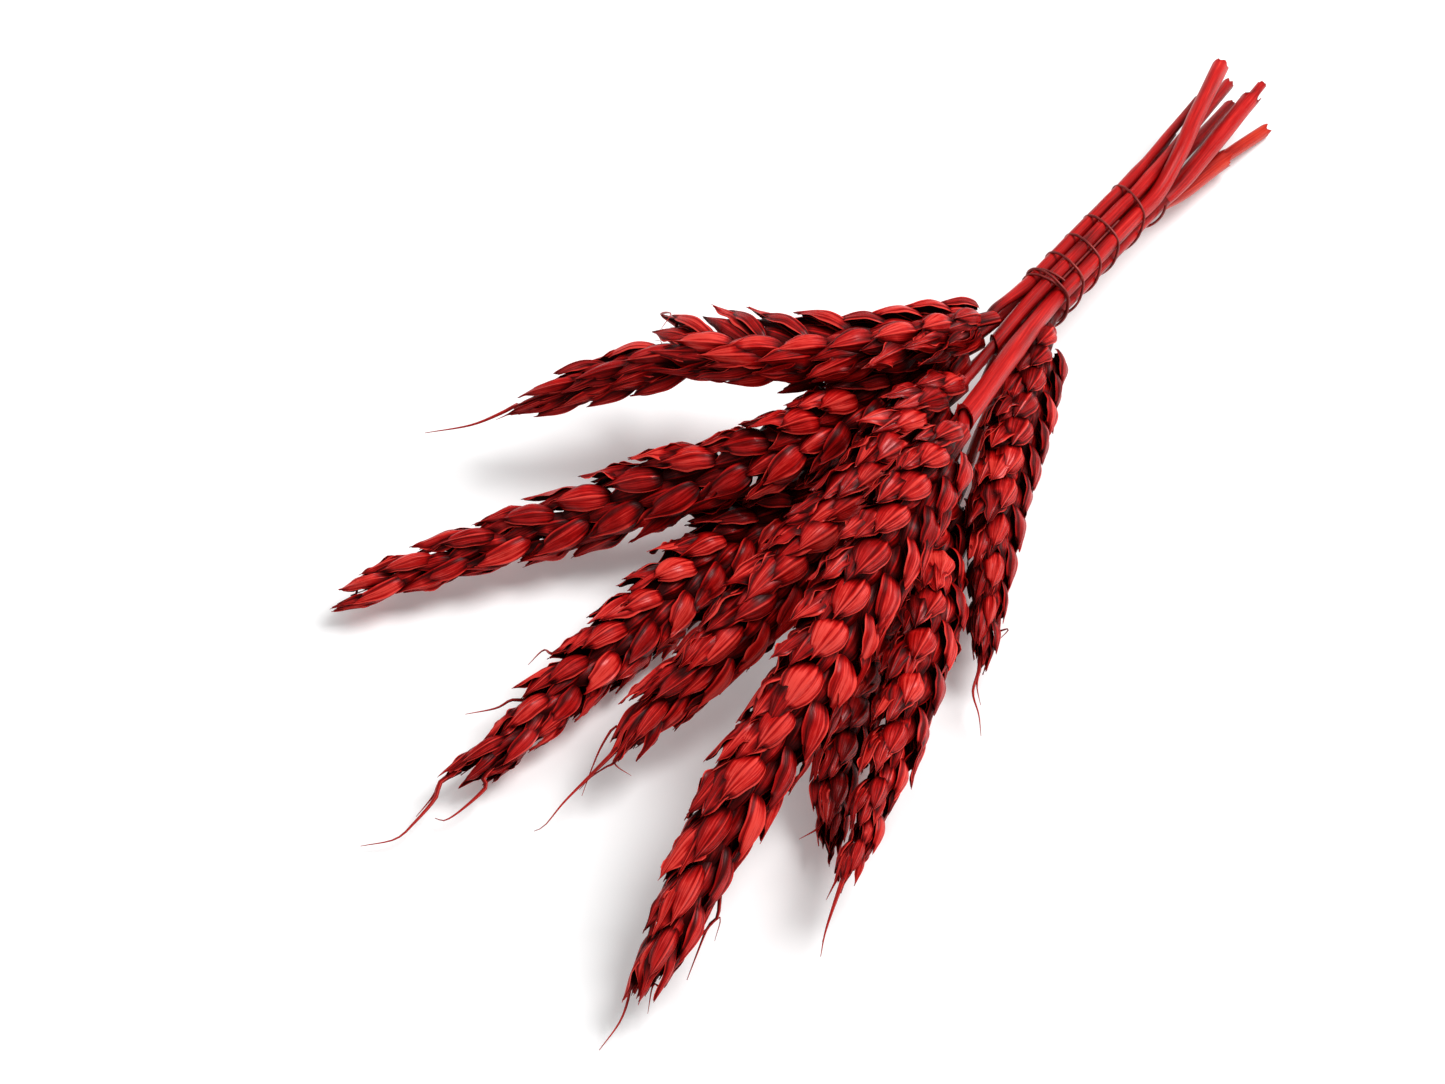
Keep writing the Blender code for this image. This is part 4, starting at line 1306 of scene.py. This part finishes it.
# The openness found here says where shade would fall; the finishes paint that shade into the colour.
def find_openness_for_painted_shade():
    """Works out every piece's openness among all of them; gives how many faces they have."""
    points = np.concatenate([piece.points() for piece, *_ in PIECES])
    quads, offset = [], 0
    for piece, *_ in PIECES:
        quads.append(np.concatenate(piece.quads) + offset)
        offset += piece.count
    tree = BVHTree.FromPolygons(points.tolist(), np.concatenate(quads).tolist())
    fan = ray_fan()
    for piece, *_ in PIECES:
        piece.open = np.concatenate([skin_openness(tree, rings, fan).ravel()
                                     for rings in piece.skins])
    return sum(len(q) for q in quads)


faces = find_openness_for_painted_shade()
print("openness worked out among", faces, "faces")

# %% [markdown]
# Everything is gathered and its openness is known, so now the meshes are made. Every piece rides
# on the bundle's one body and stands for its plain solid, which it hides.

# %% Make every piece
for piece, finish, node, slot in PIECES:
    thing = piece.make(finish)
    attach(thing, "root")
    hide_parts(node)
    print(piece.name, len(thing.data.polygons) * 2, "triangles")

# %% [markdown]
# The bundle lies on a white floor under soft light. The floor is a wide pale plane that glows a
# little, so that it reads as white right out to the edges. A big soft lamp from behind on the right
# throws the soft shadows towards us, a weaker one fills them from the left, and an even white room
# does the rest. The camera looks down at the bundle through a long lens, which keeps its
# proportions calm.

# %% Floor, light and camera
FLOOR_HALF = 3.0
FLOOR_HEIGHT = -0.2 * MM
ROOM_LIGHT = 0.40
CAMERA_LENS = 85.0
CAMERA_DISTANCE = 0.54
CAMERA_TURN, CAMERA_TILT = math.radians(37.0), math.radians(47.0)


def make_floor():
    """A wide pale plane just under the table's level, kept out of the model itself."""
    mesh = bpy.data.meshes.new("floor")
    corners = [(-1, -1), (1, -1), (1, 1), (-1, 1)]
    mesh.from_pydata([(x * FLOOR_HALF, y * FLOOR_HALF, FLOOR_HEIGHT) for x, y in corners], [],
                     [(0, 1, 2, 3)])
    floor = bpy.data.objects.new("floor", mesh)
    bpy.context.scene.collection.objects.link(floor)
    finish = Finish("pale_floor", Roughness=0.8, Specular_IOR_Level=0.2,
                    Emission_Color=(1.0, 1.0, 1.0, 1.0), Emission_Strength=0.12)
    grain = finish.noise(finish.place(), 30.0)
    colour = finish.node("ShaderNodeValToRGB", {"stops": [
        (0.0, (0.90, 0.90, 0.90)), (1.0, (0.93, 0.93, 0.93))]}, {0: grain})[0]
    mesh.materials.append(finish.use(Base_Color=colour))


def add_lamp(name, place, size, watts):
    """A round soft lamp that looks at the bundle's middle."""
    lamp = bpy.data.lights.new(name, "AREA")
    lamp.shape = "DISK"
    lamp.size = size
    lamp.energy = watts
    holder = bpy.data.objects.new(name, lamp)
    holder.location = place
    holder.rotation_euler = (-Vector(place)).to_track_quat("-Z", "Y").to_euler()
    bpy.context.scene.collection.objects.link(holder)


def set_camera():
    """A camera with a long lens, turned and tilted round the bundle's middle."""
    camera = bpy.data.cameras.new("camera")
    camera.lens = CAMERA_LENS
    camera.sensor_width = 36.0
    camera.clip_start = 0.01
    holder = bpy.data.objects.new("camera", camera)
    back = Vector((math.sin(CAMERA_TURN) * math.cos(CAMERA_TILT),
                   -math.cos(CAMERA_TURN) * math.cos(CAMERA_TILT), math.sin(CAMERA_TILT)))
    holder.location = LAY + back * CAMERA_DISTANCE
    holder.rotation_euler = (-back).to_track_quat("-Z", "Y").to_euler()
    bpy.context.scene.collection.objects.link(holder)
    bpy.context.scene.camera = holder


make_floor()
add_lamp("key", (0.30, 0.45, 0.75), 0.55, 8.8)
add_lamp("fill", (-0.6, -0.3, 0.7), 0.9, 1.5)
world = bpy.data.worlds.new("room")
world.use_nodes = True
sky = world.node_tree.nodes["Background"].inputs
sky["Color"].default_value = (1.0, 1.0, 1.0, 1.0)
sky["Strength"].default_value = ROOM_LIGHT
bpy.context.scene.world = world
bpy.context.scene.view_settings.view_transform = "Standard"
set_camera()
